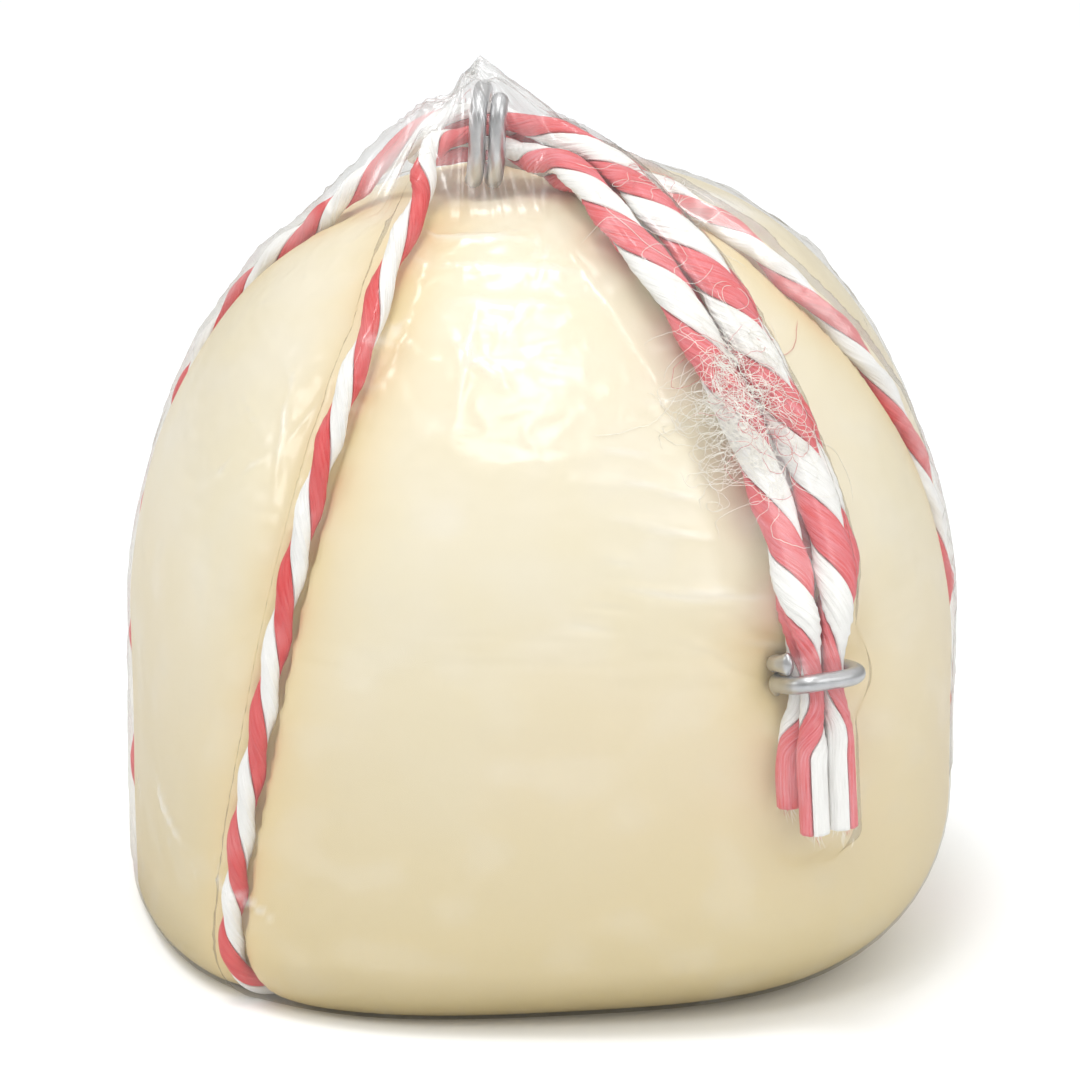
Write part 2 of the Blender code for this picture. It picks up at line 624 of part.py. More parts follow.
def bed(name, line, collection):
    """The groove that one length of twine presses into the cheese, open below along the base."""
    radius = TWINE_RADIUS + BED_CLEARANCE
    under = line[:, 2] - radius < CROSSING_LIFT
    near_base = 1 - smooth_step(np.hypot(line[:, 0], line[:, 1]), *BED_NEAR_BASE)
    low_radius = (line[:, 2] + radius + BED_MOUTH) / 2
    radii = np.where(under & (low_radius > radius), radius + (low_radius - radius) * near_base, radius)
    points = line.copy()
    points[:, 2] += radius - radii
    return solid_tube(name, points, radii, collection)


def clip_bed(name, middle, side, up, along, collection):
    """The shallow dish that the tail's clip presses into the cheese."""
    mesh = bpy.data.meshes.new(name)
    shape = bmesh.new()
    bmesh.ops.create_uvsphere(shape, u_segments=12, v_segments=8, radius=1.0)
    half = [size + CLIP_BED_MARGIN for size in (TAIL_CLIP_HALF_WIDTH, TAIL_CLIP_HALF_HEIGHT, WIRE_PITCH)]
    for point in shape.verts:
        x, y, z = (math.copysign(abs(value) ** CLIP_BED_SQUARENESS, value) * size
                   for value, size in zip(point.co, half))
        point.co = middle + side * x + up * y + along * z
    shape.to_mesh(mesh)
    shape.free()
    made = bpy.data.objects.new(name, mesh)
    collection.objects.link(made)
    made.hide_render = True
    made.display_type = "WIRE"
    return made


def build_cheese(parts, finish, beds):
    """The body, with the beds of the twine and of the lower clip cut out of it."""
    rows = len(CHEESE_TRAVELS) + 2

    def place(column, row):
        azimuth = 360 * column / CHEESE_COLUMNS
        if row == 0:
            return (0, 0, 0)
        if row == 1:
            return skin_point(azimuth, 0.0) * (0.5, 0.5, 0)
        if row == rows:
            return skin_point(0.0, 3.0)
        return skin_point(azimuth, CHEESE_TRAVELS[row - 2])

    cheese = place_sphere("cheese", CHEESE_COLUMNS, rows, place, parts, finish)
    for cutter in beds:
        cut = cheese.modifiers.new("cut_" + cutter.name, "BOOLEAN")
        cut.operation = "DIFFERENCE"
        cut.solver = "MANIFOLD"
        cut.object = cutter
    return cheese


def build_film(parts, finish, contents):
    """The film round everything, from its rim just above the floor to the gathered peak."""
    fixed = np.array(FILM_TRAVELS)
    columns = len(film_columns(2.0))
    azimuth = np.array([film_columns(travel) for travel in fixed])
    travel = np.repeat(fixed[:, None], columns, axis=1)
    bottom = film_columns(0.0)
    tries = np.linspace(0, 1, 41)[:, None] * np.ones((1, columns))
    tried = bottom + (azimuth[0] - bottom) * tries
    skin, normal = skin_point(tried, tries), skin_normal(tried, tries)
    height = (skin + normal * film_lift(skin, normal, contents)[..., None])[..., 2]
    rim = tries[np.argmax(height > FILM_RIM_HEIGHT, axis=0), 0]
    edge = np.array([rim + (fixed[0] - rim) * share for share in FILM_EDGE_SHARES])
    travel = np.concatenate([edge, travel])
    azimuth = np.concatenate([bottom + (azimuth[0] - bottom) * edge, azimuth])
    points = film_points(azimuth, travel, contents)
    points[..., 2] = np.maximum(points[..., 2], FILM_RIM_HEIGHT)
    peak = (GATHER_X, GATHER_Y, PEAK_HEIGHT)
    rows = len(travel) + 1

    def place(column, row):
        return peak if row == rows else points[max(row - 1, 0)][column]

    film = place_sphere("film", columns, rows, place, parts, finish, open_below=True)
    shell = film.modifiers.new("thickness", "SOLIDIFY")
    shell.thickness = FILM_THICKNESS
    shell.offset = 1.0
    return film


def crossing_point():
    """Where the two lengths cross under the base, in plan."""
    feet = {name: strand_on_skin(name)[0][:2] for name in STRAND_AZIMUTHS}
    (start, end), (under, over) = [[feet[name] for name in pair] for pair in LENGTHS.values()]
    across = np.stack([end - start, under - over], axis=1)
    return start + (end - start) * np.linalg.solve(across, under - start)[0]


def build_twine(lines, parts, red, white):
    """The two plies of each length, as lofts whose half-round section turns along them."""
    for length, values in lines.items():
        for colour, facing, finish in (("red", 1, red), ("white", -1, white)):
            sections = ply_sections(facing, START_TURNS[length], *values)
            loft(f"twine_{length}_{colour}", sections, parts, finish)


def clip_frame():
    """The middle of the lower clip, with the directions across the tail, out of the cheese and along it."""
    line, outward = tail_middle()
    index = tail_clip_index(line)
    heading = line[index + 1] - line[index - 1]
    heading /= np.linalg.norm(heading)
    sideways = np.cross(outward[index], heading)
    sideways /= np.linalg.norm(sideways)
    return line[index], sideways, np.cross(heading, sideways), heading


def main():
    clear_scene()
    parts = new_collection("tied_cheese")
    cutters = new_collection("cutters")
    cream = material("cheese_cream", (0.86, 0.77, 0.55), 0.45)
    red = material("twine_red", (0.72, 0.05, 0.06), 0.6)
    white = material("twine_white", (0.88, 0.87, 0.84), 0.6)
    wire = material("clip_wire", (0.72, 0.72, 0.71), 0.35, metallic=1.0)
    clear = material("clear_film", (0.95, 0.95, 0.93), 0.12, alpha=0.25)

    tails = tail_strands()
    lines = {"one": twine_line("one", tails), "two": twine_line("two", tails, crossing_point())}
    build_twine(lines, parts, red, white)

    up, right, front = np.array([0, 0, 1.0]), np.array([1.0, 0, 0]), np.array([0, -1.0, 0])
    gather = np.array([GATHER_X, GATHER_Y, TOP_CLIP_HEIGHT])
    top_clip = clip_line(gather, right, front, up, TOP_CLIP_HALF_WIDTH, TOP_CLIP_HALF_HEIGHT,
                         TOP_CLIP_START, TOP_CLIP_OVERLAP)
    middle, sideways, out, heading = clip_frame()
    tail_clip = clip_line(middle, -heading, -sideways, out, TAIL_CLIP_HALF_WIDTH, TAIL_CLIP_HALF_HEIGHT,
                          TAIL_CLIP_START, TAIL_CLIP_OVERLAP)
    for name, points in (("clip_top", top_clip), ("clip_tail", tail_clip)):
        tube(name, points, np.full(len(points), WIRE_RADIUS), parts).data.materials.append(wire)

    beds = [clip_bed("bed_clip", middle, sideways, out, heading, cutters)]
    for length, ends in LENGTHS.items():
        line = lines[length][0]
        start, end = (np.linalg.norm(line - np.array(FREE_ROUTES[name][1]) * MM, axis=1).argmin()
                      for name in ends)
        beds.append(bed("bed_" + length, at_bends(line[start:end]), cutters))
    build_cheese(parts, cream, beds)

    contents = []
    for line, size, _, flat, _ in lines.values():
        half_width, half_height = strand_half_sizes(flat[None, ::2], size[None, ::2])
        contents.append((line[::2], half_height, FILM_SLOPE, FILM_FLAT * half_width / TWINE_RADIUS))
    contents += [(points, WIRE_RADIUS, FILM_CLIP_SLOPE, FILM_FLAT) for points in (top_clip, tail_clip)]
    peak = np.array([[GATHER_X, GATHER_Y, PEAK_HEIGHT]])
    contents.append((peak, -FILM_CLEARANCE, FILM_CLIP_SLOPE, 0.0))
    build_film(parts, clear, contents)


main()
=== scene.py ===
# %% [markdown]
# # A small tied cheese in clear shrink film
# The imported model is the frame: exact solids at their real places and sizes. Each piece made here stands
# for one of those solids, or rides with them, so nothing has to be fitted afterwards. All sizes are in
# metres, the front is -Y, the right is +X, and an azimuth is an angle in degrees round the cheese.

import math

import bpy
import numpy as np
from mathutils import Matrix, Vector, noise
from mathutils.kdtree import KDTree


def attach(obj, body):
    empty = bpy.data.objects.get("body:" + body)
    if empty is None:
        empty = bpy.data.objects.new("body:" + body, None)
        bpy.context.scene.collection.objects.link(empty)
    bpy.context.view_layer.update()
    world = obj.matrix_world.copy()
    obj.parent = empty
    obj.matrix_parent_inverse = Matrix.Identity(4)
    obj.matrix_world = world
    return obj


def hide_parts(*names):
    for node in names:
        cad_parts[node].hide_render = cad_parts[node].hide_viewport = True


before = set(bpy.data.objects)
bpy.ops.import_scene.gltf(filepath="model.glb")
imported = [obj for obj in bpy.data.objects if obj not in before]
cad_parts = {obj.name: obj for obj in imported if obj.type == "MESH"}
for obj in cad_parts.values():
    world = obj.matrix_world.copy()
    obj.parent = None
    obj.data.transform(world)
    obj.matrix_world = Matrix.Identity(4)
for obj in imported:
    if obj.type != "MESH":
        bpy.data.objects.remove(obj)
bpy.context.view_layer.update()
MM = 0.001
print("nodes in the frame:", sorted(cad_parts))

# %% [markdown]
# ## Camera
# A long lens far away keeps the cheese's sides nearly parallel, as a packshot has it. The camera looks
# down by fifteen degrees, so a little of the dome's top shows and all of the base line.

# %% The camera
VIEW_ELEVATION = 15.0
VIEW_DISTANCE = 0.8
VIEW_WIDTH = 0.15282
VIEW_TARGET = Vector((-0.0005, 0.0, 0.0549))
SENSOR_WIDTH = 36.0

elevation = math.radians(VIEW_ELEVATION)
towards_camera = Vector((0.0, -math.cos(elevation), math.sin(elevation)))
camera = bpy.data.objects.new("camera", bpy.data.cameras.new("camera"))
camera.data.sensor_width = SENSOR_WIDTH
camera.data.lens = SENSOR_WIDTH * VIEW_DISTANCE / VIEW_WIDTH
camera.data.clip_start = 0.01
camera.location = VIEW_TARGET + towards_camera * VIEW_DISTANCE
camera.rotation_euler = (-towards_camera).to_track_quat("-Z", "Y").to_euler()
bpy.context.scene.collection.objects.link(camera)
bpy.context.scene.camera = camera
print("lens", round(camera.data.lens, 1), "mm")

# %% [markdown]
# ## The skin of the cheese
# A hand-formed cheese that was hung and then stood on a shelf is a dome on a round-edged drum, a little
# lobed in plan because the twine pulls it in. A "travel" says how far up the skin a point is: 0 to 1 round
# the bottom edge, 1 to 2 up the wall, and 2 to 3 over the dome to the point where the film is gathered.
# These are the same formulas as the solids follow, so finer meshes made from them lie in the same place.

# %% Formulas of the skin
CHEESE_RADIUS = 59.3 * MM
WIDEST_HEIGHT = 42.3 * MM
DOME_HEIGHT = 66.0 * MM
DOME_SIDE_POWER = 2.5
DOME_TOP_POWER = 1.83
OUTLINE_LOBES = ((2, -0.0155, 0.0294), (3, 0.0289, 0.0053), (4, -0.0509, -0.0107))
EDGE_RADIUS = 12.5 * MM
EDGE_RADIUS_TO_RIGHT = 10.1 * MM
EDGE_RADIUS_TO_FRONT = 3.0 * MM
GATHER_X, GATHER_Y = -7.8 * MM, -4.0 * MM
DIMPLE_DEPTH = 2.6 * MM
DIMPLE_RADIUS = 13.0 * MM


def flat_direction(azimuth):
    angle = np.radians(azimuth)
    return np.stack([np.sin(angle), -np.cos(angle)], axis=-1)


def wall_radius(azimuth):
    angle = np.radians(azimuth)
    share = 1.0
    for lobes, cosine, sine in OUTLINE_LOBES:
        share = share + cosine * np.cos(lobes * angle) + sine * np.sin(lobes * angle)
    return CHEESE_RADIUS * share


def edge_radius(azimuth):
    angle = np.radians(azimuth)
    return EDGE_RADIUS + EDGE_RADIUS_TO_RIGHT * np.sin(angle) + EDGE_RADIUS_TO_FRONT * np.cos(angle)


def dome_height(flat):
    azimuth = np.degrees(np.arctan2(flat[..., 0], -flat[..., 1]))
    radius = np.hypot(flat[..., 0], flat[..., 1])
    lobes = wall_radius(azimuth) / CHEESE_RADIUS - 1
    low, high = np.zeros_like(radius), np.ones_like(radius)
    for _ in range(40):
        middle = (low + high) / 2
        round_share = (1 - middle**DOME_TOP_POWER) ** (1 / DOME_SIDE_POWER)
        outside = CHEESE_RADIUS * (1 + lobes * (1 - middle)) * round_share > radius
        low, high = np.where(outside, middle, low), np.where(outside, high, middle)
    from_gather = np.hypot(flat[..., 0] - GATHER_X, flat[..., 1] - GATHER_Y)
    dimple = DIMPLE_DEPTH * np.exp(-((from_gather / DIMPLE_RADIUS) ** 2))
    return WIDEST_HEIGHT + DOME_HEIGHT * low - dimple


def skin_point(azimuth, travel):
    azimuth, travel = np.broadcast_arrays(np.asarray(azimuth, float), np.asarray(travel, float))
    wall, edge = wall_radius(azimuth), edge_radius(azimuth)
    turn = np.clip(travel, 0, 1) * math.pi / 2
    radius = wall - edge * (1 - np.sin(turn))
    height = edge * (1 - np.cos(turn)) + np.clip(travel - 1, 0, 1) * (WIDEST_HEIGHT - edge)
    flat = flat_direction(azimuth) * radius[..., None]
    lean = np.clip(travel - 2, 0, 1) * math.pi / 2
    reach = np.maximum(np.cos(lean), 0) ** (2 / DOME_SIDE_POWER)
    gather = np.array([GATHER_X, GATHER_Y])
    dome_flat = gather + (flat_direction(azimuth) * wall[..., None] - gather) * reach[..., None]
    on_dome = travel > 2
    flat = np.where(on_dome[..., None], dome_flat, flat)
    height = np.where(on_dome, dome_height(dome_flat), height)
    return np.concatenate([flat, height[..., None]], axis=-1)


def skin_normal(azimuth, travel):
    side_step, up_step = 0.4, 0.01
    high_travel = np.minimum(np.asarray(travel, float) + up_step, 2.985)
    low_travel = np.maximum(high_travel - 2 * up_step, 0)
    across = skin_point(azimuth + side_step, travel) - skin_point(azimuth - side_step, travel)
    along = skin_point(azimuth, high_travel) - skin_point(azimuth, low_travel)
    normal = np.cross(across, along)
    return normal / np.maximum(np.linalg.norm(normal, axis=-1, keepdims=True), 1e-12)


print("widest", round(float(np.ptp(skin_point(np.arange(360.0), 2.0)[:, 0])) / MM, 1), "mm")

# %% [markdown]
# ## Lines of points
# Twine, wire and fibres all follow a line of points. These helpers measure along such a line, draw a
# Catmull-Rom curve through a few chosen points, find the nearest point, and blend one value into another.

# %% Helpers for lines
CURVE_STEPS = 16


def smooth_step(value, start, end):
    share = np.clip((value - start) / (end - start), 0, 1)
    return share * share * (3 - 2 * share)


def unit(vectors):
    return vectors / np.maximum(np.linalg.norm(vectors, axis=-1, keepdims=True), 1e-12)


def run_along(line):
    return np.concatenate([[0], np.cumsum(np.linalg.norm(np.diff(line, axis=0), axis=1))])


def smooth_line(points, spacing):
    points = np.asarray(points, float)
    ends = np.concatenate([[2 * points[0] - points[1]], points, [2 * points[-1] - points[-2]]])
    share = np.linspace(0, 1, CURVE_STEPS, endpoint=False)[:, None]
    fine = [
        0.5 * (2 * b + (c - a) * share + (2 * a - 5 * b + 4 * c - d) * share**2
               + (3 * b - a - 3 * c + d) * share**3)
        for a, b, c, d in zip(ends, ends[1:], ends[2:], ends[3:])
    ]
    fine = np.concatenate([*fine, points[-1:]])
    length = run_along(fine)
    even = np.linspace(0, length[-1], max(2, round(length[-1] / spacing) + 1))
    return np.stack([np.interp(even, length, fine[:, axis]) for axis in range(3)], axis=1)


def nearest_index(line, place):
    return int(np.linalg.norm(line - place, axis=1).argmin())

# %% [markdown]
# ## Routes of the twine
# Two lengths of twine cross under the base. Their four strands rise to the clip at the top, pass through
# it and run on together as a tail down the front, where a second clip holds them. On the cheese a strand is
# given from the photograph as azimuths at a few travels, and it sinks a little into the skin on
# the wall and stands off it near the top.

# %% Strands on the skin
LENGTHS = {"one": ("left", "right"), "two": ("front_left", "back")}
TWINE_RADIUS = 2.0 * MM
UNDER_LIFT = 2.2 * MM
STRAND_TRAVELS = (0.0, 1.0, 1.5, 2.0, 2.3, 2.6, 2.78)
STRAND_AZIMUTHS = {
    "left": (-110, -105, -105, -108, -109, -99, -91),
    "front_left": (-44, -46.5, -43.5, -39.3, -34.8, -30.5, -33.5),
    "right": (103, 89, 88, 86, 75.5, 65, 68),
    "back": (158, 154, 151, 151, 152, 153, 154),
}
# How far a strand's centre is off the wall and off the top, and the travels between which that changes
STRAND_LIFTS = {
    "left": (-1.0 * MM, 0.4 * MM, 2.5, 2.8),
    "front_left": (0.2 * MM, 2.3 * MM, 2.1, 2.7),
    "right": (-0.8 * MM, 0.8 * MM, 2.1, 2.7),
    "back": (-0.2 * MM, 0.6 * MM, 2.1, 2.7),
}
ROUTE_TRAVELS = np.concatenate([np.linspace(0, 1, 5)[:-1], np.linspace(1, 2, 5)[:-1], np.linspace(2, 2.74, 12)])


def strand_on_skin(name):
    travel = ROUTE_TRAVELS
    azimuth = np.interp(travel, STRAND_TRAVELS, STRAND_AZIMUTHS[name])
    wall_lift, top_lift, start, end = STRAND_LIFTS[name]
    lift = wall_lift + (top_lift - wall_lift) * smooth_step(travel, start, end)
    points = skin_point(azimuth, travel) + skin_normal(azimuth, travel) * lift[:, None]
    points[:, 2] = np.maximum(points[:, 2], UNDER_LIFT)
    return points

# %% [markdown]
# ### Middle of the tail
# The tail leaves the top clip, falls through the air for a moment and then lies on the cheese. Its middle
# line comes first. Beside each point of it stands the direction that is outwards there, blended from the
# directions at the chosen points, because the strands are laid out across it.

# %% Middle of the tail
TOP_CLIP_HEIGHT = 114.1 * MM
TAIL_CLIP_TRAVEL = 2.12
TAIL_CLIP_SINK = 0.7 * MM
SINK_REACH = 0.12
TAIL_TRAVELS = (1.46, 2.0, 2.12, 2.3, 2.55, 2.76)
TAIL_AZIMUTHS = (34.0, 33.4, 33.8, 35.4, 33.9, 34.3)
TAIL_LIFT = 4.95 * MM
TAIL_POINTS = 12
TAIL_STEP = 1.5 * MM
TAIL_FREE_ROUTE = ((-2.6, -4.6, 113.4), (3, -10.4, 111.5), (8, -18.4, 109.9))
BLEND_REACH = 2 * MM
GATHER = np.array([GATHER_X, GATHER_Y, TOP_CLIP_HEIGHT])


def tail_middle():
    travel = np.linspace(TAIL_TRAVELS[-1], TAIL_TRAVELS[0], TAIL_POINTS)
    azimuth = np.interp(travel, TAIL_TRAVELS, TAIL_AZIMUTHS)
    outward = skin_normal(azimuth, travel)
    lift = TAIL_LIFT - TAIL_CLIP_SINK * np.exp(-(((travel - TAIL_CLIP_TRAVEL) / SINK_REACH) ** 2))
    on_skin = skin_point(azimuth, travel) + outward * lift[:, None]
    points = np.concatenate([GATHER[None], np.array(TAIL_FREE_ROUTE) * MM, on_skin])
    up = np.array([[0.0, 0.0, 1.0]])
    outward = np.concatenate([up, up, up, up, outward])
    line = smooth_line(points, TAIL_STEP)
    nearest = np.linalg.norm(line[:, None] - points[None], axis=2)
    weight = 1 / (nearest**2 + BLEND_REACH**2)
    outward = (weight[:, :, None] * outward[None]).sum(axis=1)
    return line, unit(outward)


def tail_clip_index(line):
    azimuth = np.interp(TAIL_CLIP_TRAVEL, TAIL_TRAVELS, TAIL_AZIMUTHS)
    return nearest_index(line, skin_point(azimuth, TAIL_CLIP_TRAVEL))

# %% [markdown]
# ### Four strands of the tail
# The strands lie two over two. The clips squeeze them and turn the pack a little. Between the clips the
# film presses them flat and they take more room, and below the lower clip they spread. Each of these changes
# runs between two distances along the tail, from the top clip or from the lower one.

# %% Strands of the tail
STRAND_GAP = 0.3 * MM
TAIL_SPREAD = 1.3 * MM
TAIL_SHIFT = 2.0 * MM
TAIL_LEAN = math.radians(12)
LEAN_AT_CLIP = math.radians(45)
LEAN_PAST_CLIP = math.radians(75)
TOP_SQUEEZE = 0.86
TAIL_SQUEEZE = 0.76
TAIL_FULLNESS = 1.15
TAIL_WIDTH = 1.25
TAIL_HEIGHT = 0.72
TAIL_PRESSED = 1.0 * MM
# Millimetres from the top clip between which each change comes
SQUEEZED_BY_TOP, FULLER, FLATTER, SHIFTED = (3.5, 10), (22, 46), (9, 22), (8, 18)
PRESSED, LEAN_GROWS, LEAN_ENDS = (18, 34), (3, 9), (6, 18)
# And millimetres from the lower clip
SQUEEZED_BY_CLIP, SPREAD_OFF_CLIP, PRESSED_OFF_CLIP, LEAN_OFF_CLIP = (2.5, 9), (3.5, 14), (7, 20), (2, 12)


def strand_half_sizes(flat, size):
    """Half the width and half the height of a strand that the film presses flat, from 0 to 1."""
    radius = TWINE_RADIUS * size
    return radius * (1 + (TAIL_WIDTH - 1) * flat), radius * (1 - (1 - TAIL_HEIGHT) * flat)


def tail_slots(flat, spread, shift, size):
    """Places of the four strands across the tail, as (sideways, outwards) from its middle."""
    side, out = (half + STRAND_GAP / 2 for half in strand_half_sizes(flat, size))
    apart = TAIL_SPREAD * spread * size
    high = math.sqrt((2 * out) ** 2 - apart**2) - out
    return {
        "front_left": (-side, high),
        "left": (side, high),
        "right": (side + apart + shift, -out),
        "back": (-side - apart + shift, -out),
    }


def tail_strands():
    """Each strand along the tail: its centre, thickness, flatness, and the directions across and up it."""
    line, outward = tail_middle()
    heading = unit(np.gradient(line, axis=0))
    sideways = unit(np.cross(outward, heading))
    outward = np.cross(heading, sideways)
    run = run_along(line) / MM
    clip = tail_clip_index(line)
    from_clip = np.abs(run - run[clip])
    above = np.arange(len(line)) < clip
    off_clip = smooth_step(from_clip, *SPREAD_OFF_CLIP)
    full = 1 + (TAIL_FULLNESS - 1) * smooth_step(run, *FULLER) * above
    size = (full - (full - TOP_SQUEEZE) * (1 - smooth_step(run, *SQUEEZED_BY_TOP))
            - (full - TAIL_SQUEEZE) * (1 - smooth_step(from_clip, *SQUEEZED_BY_CLIP)))
    flat = smooth_step(run, *FLATTER) * off_clip * above
    spread = off_clip * ~above
    shift = TAIL_SHIFT * smooth_step(run, *SHIFTED) * off_clip * above
    pressed = TAIL_PRESSED * smooth_step(run, *PRESSED) * smooth_step(from_clip, *PRESSED_OFF_CLIP) * above
    lean = LEAN_AT_CLIP + (LEAN_PAST_CLIP - LEAN_AT_CLIP) * smooth_step(run, *LEAN_GROWS)
    lean = TAIL_LEAN + (lean - TAIL_LEAN) * (1 - smooth_step(run, *LEAN_ENDS))
    lean = lean * smooth_step(from_clip, *LEAN_OFF_CLIP) * above
    strands = {name: ([], [], [], []) for name in STRAND_AZIMUTHS}
    for index in range(len(line)):
        cosine, sine = math.cos(lean[index]), math.sin(lean[index])
        across = cosine * sideways[index] + sine * outward[index]
        up = cosine * outward[index] - sine * sideways[index]
        middle = line[index] - outward[index] * pressed[index]
        slots = tail_slots(flat[index], spread[index], shift[index], size[index])
        for name, (side, out) in slots.items():
            for kept, value in zip(strands[name], (middle + across * side + up * out, size[index],
                                                   flat[index], (across, up))):
                kept.append(value)
    return {name: [np.array(kept) for kept in strand] for name, strand in strands.items()}

# %% [markdown]
# ### Two whole lengths
# Each length is joined from five parts: a strand of the tail upside down, a strand on the cheese, the
# stretch under the base, the other strand and its part of the tail. Between the cheese and the clip the
# strands run free, through points chosen so that they pass beside each other. Under the base one length
# goes over the other. Rounding the corners at the foot comes last.

# %% Two lengths of twine
CROSSING_LIFT = 4.6 * MM
CROSSING_REACH = 9.0 * MM
FOOT_HEIGHT = 10.0 * MM
FOOT_ROUNDS = 24
TWINE_STEP = 0.5 * MM
SQUEEZED_IN_CLIP = (4.5, 9)
ON_TAIL_WITHIN = 1.2 * MM
FREE_ROUTES = {
    "left": ((-28.3, -3, 104.2), (-24, -3.4, 108.2), (-19.4, -4.2, 112.4), (-15.2, -4.6, 115.8),
             (-11.6, -4.1, 116.8)),
    "front_left": ((-16.8, -17, 107.4), (-16.3, -11.6, 111.2), (-14.4, -8, 113.6), (-11.2, -6.7, 114.1)),
    "right": ((15.6, -8.9, 107.6), (8, -1.8, 109.9), (0, 5, 111.4), (-7.8, 7.4, 112.6), (-13, 5.6, 113.8),
              (-15.2, 2.2, 114.2), (-13.4, -1, 114.1), (-11, -1.4, 114.1)),
    "back": ((1.4, 16.8, 108.1), (-6, 12.8, 109.4), (-13, 8.6, 110), (-17, 3.4, 110.2), (-16.6, -1.2, 110.6),
             (-13.6, -3.6, 111.3), (-11.2, -4, 111.5)),
}


def under_base(start, end, crossing=None):
    share = np.linspace(0, 1, 22)[1:-1, None]
    points = start + (end - start) * share
    points[:, 2] = UNDER_LIFT
    if crossing is not None:
        away = np.linalg.norm(points[:, :2] - crossing, axis=1)
        points[:, 2] += CROSSING_LIFT * np.exp(-((away / CROSSING_REACH) ** 2))
    return points


def crossing_point():
    feet = {name: strand_on_skin(name)[0][:2] for name in STRAND_AZIMUTHS}
    (start, end), (under, over) = [[feet[name] for name in pair] for pair in LENGTHS.values()]
    across = np.stack([end - start, under - over], axis=1)
    return start + (end - start) * np.linalg.solve(across, under - start)[0]


def twine_line(length, tails, crossing=None):
    first, second = LENGTHS[length]
    feet, strands = {}, {}
    for name in (first, second):
        skin = strand_on_skin(name)
        strands[name] = np.concatenate([skin, np.array(FREE_ROUTES[name]) * MM])
        feet[name] = skin[0]
    under = under_base(feet[first], feet[second], crossing)
    tail_a, tail_b = tails[first][0], tails[second][0]
    rough = np.concatenate([tail_a[::-3][:-1], tail_a[:1], strands[first][::-1], under, strands[second],
                            tail_b[:1], tail_b[::3][1:]])
    line = smooth_line(rough, 2 * TWINE_STEP)
    for _ in range(FOOT_ROUNDS):
        low = (line[:, 2] < FOOT_HEIGHT)[1:-1, None]
        line[1:-1] = np.where(low, (line[:-2] + line[1:-1] * 2 + line[2:]) / 4, line[1:-1])
    line[:, 2] = np.maximum(line[:, 2], UNDER_LIFT)
    line = smooth_line(line, TWINE_STEP)
    in_clip = np.linalg.norm(line - GATHER, axis=1) / MM
    size = TOP_SQUEEZE + (1 - TOP_SQUEEZE) * smooth_step(in_clip, *SQUEEZED_IN_CLIP)
    tail_points, tail_sizes, tail_flats, tail_axes = (np.concatenate(both)
                                                      for both in zip(tails[first], tails[second]))
    gaps = np.linalg.norm(line[:, None] - tail_points[None], axis=2)
    nearest = gaps.argmin(axis=1)
    on_tail = gaps.min(axis=1) < ON_TAIL_WITHIN
    return {
        "line": line,
        "on_tail": on_tail,
        "size": np.where(on_tail, tail_sizes[nearest], size),
        "flat": np.where(on_tail, tail_flats[nearest], 0.0),
        "across": tail_axes[nearest, 0],
        "up": tail_axes[nearest, 1],
    }


tails = tail_strands()
routes = {"one": twine_line("one", tails), "two": twine_line("two", tails, crossing_point())}
for length, route in routes.items():
    print("twine", length, "is", round(run_along(route["line"])[-1] / MM), "mm long")

# %% [markdown]
# ## Route of the clips' wire
# A hand tool bends a short aluminium wire shut round the strands, so its two ends pass each other side by
# side. A rounded box with a slow drift along its axis gives that path, for the clip at the top and for
# the one near the end of the tail.

# %% Route of the clips' wire
WIRE_RADIUS = 1.2 * MM
WIRE_PITCH = 2.75 * MM
TOP_CLIP_HALF_WIDTH = 5.95 * MM
TOP_CLIP_HALF_HEIGHT = 6.0 * MM
TOP_CLIP_START, TOP_CLIP_OVERLAP = -80, 150
TAIL_CLIP_HALF_WIDTH = 4.7 * MM
TAIL_CLIP_HALF_HEIGHT = 4.65 * MM
TAIL_CLIP_START, TAIL_CLIP_OVERLAP = -60, 70
CLIP_SQUARENESS = 0.55
UP, RIGHT, FRONT = np.array([0, 0, 1.0]), np.array([1.0, 0, 0]), np.array([0, -1.0, 0])


def clip_line(middle, axis, side, up, half_width, half_height, start, overlap):
    angle = np.radians(np.linspace(start, start + 360 + overlap, 28))
    across = np.sign(np.cos(angle)) * np.abs(np.cos(angle)) ** CLIP_SQUARENESS * half_width
    upward = np.sign(np.sin(angle)) * np.abs(np.sin(angle)) ** CLIP_SQUARENESS * half_height
    drift = (np.linspace(0, 1, len(angle)) - 0.5) * WIRE_PITCH * (360 + overlap) / 360
    return smooth_line(middle + np.outer(across, side) + np.outer(upward, up) + np.outer(drift, axis), 0.3 * MM)


middle_line, middle_outward = tail_middle()
clip_at = tail_clip_index(middle_line)
clip_heading = unit(middle_line[clip_at + 1] - middle_line[clip_at - 1])
clip_side = unit(np.cross(middle_outward[clip_at], clip_heading))
clip_out = np.cross(clip_heading, clip_side)
clip_lines = {
    "clip_top": (clip_line(GATHER, RIGHT, FRONT, UP, TOP_CLIP_HALF_WIDTH, TOP_CLIP_HALF_HEIGHT,
                           TOP_CLIP_START, TOP_CLIP_OVERLAP), RIGHT),
    "clip_tail": (clip_line(middle_line[clip_at], -clip_heading, -clip_side, clip_out, TAIL_CLIP_HALF_WIDTH,
                            TAIL_CLIP_HALF_HEIGHT, TAIL_CLIP_START, TAIL_CLIP_OVERLAP), -clip_heading),
}
for name, (line, _) in clip_lines.items():
    print(name, "has", round(run_along(line)[-1] / MM), "mm of wire")

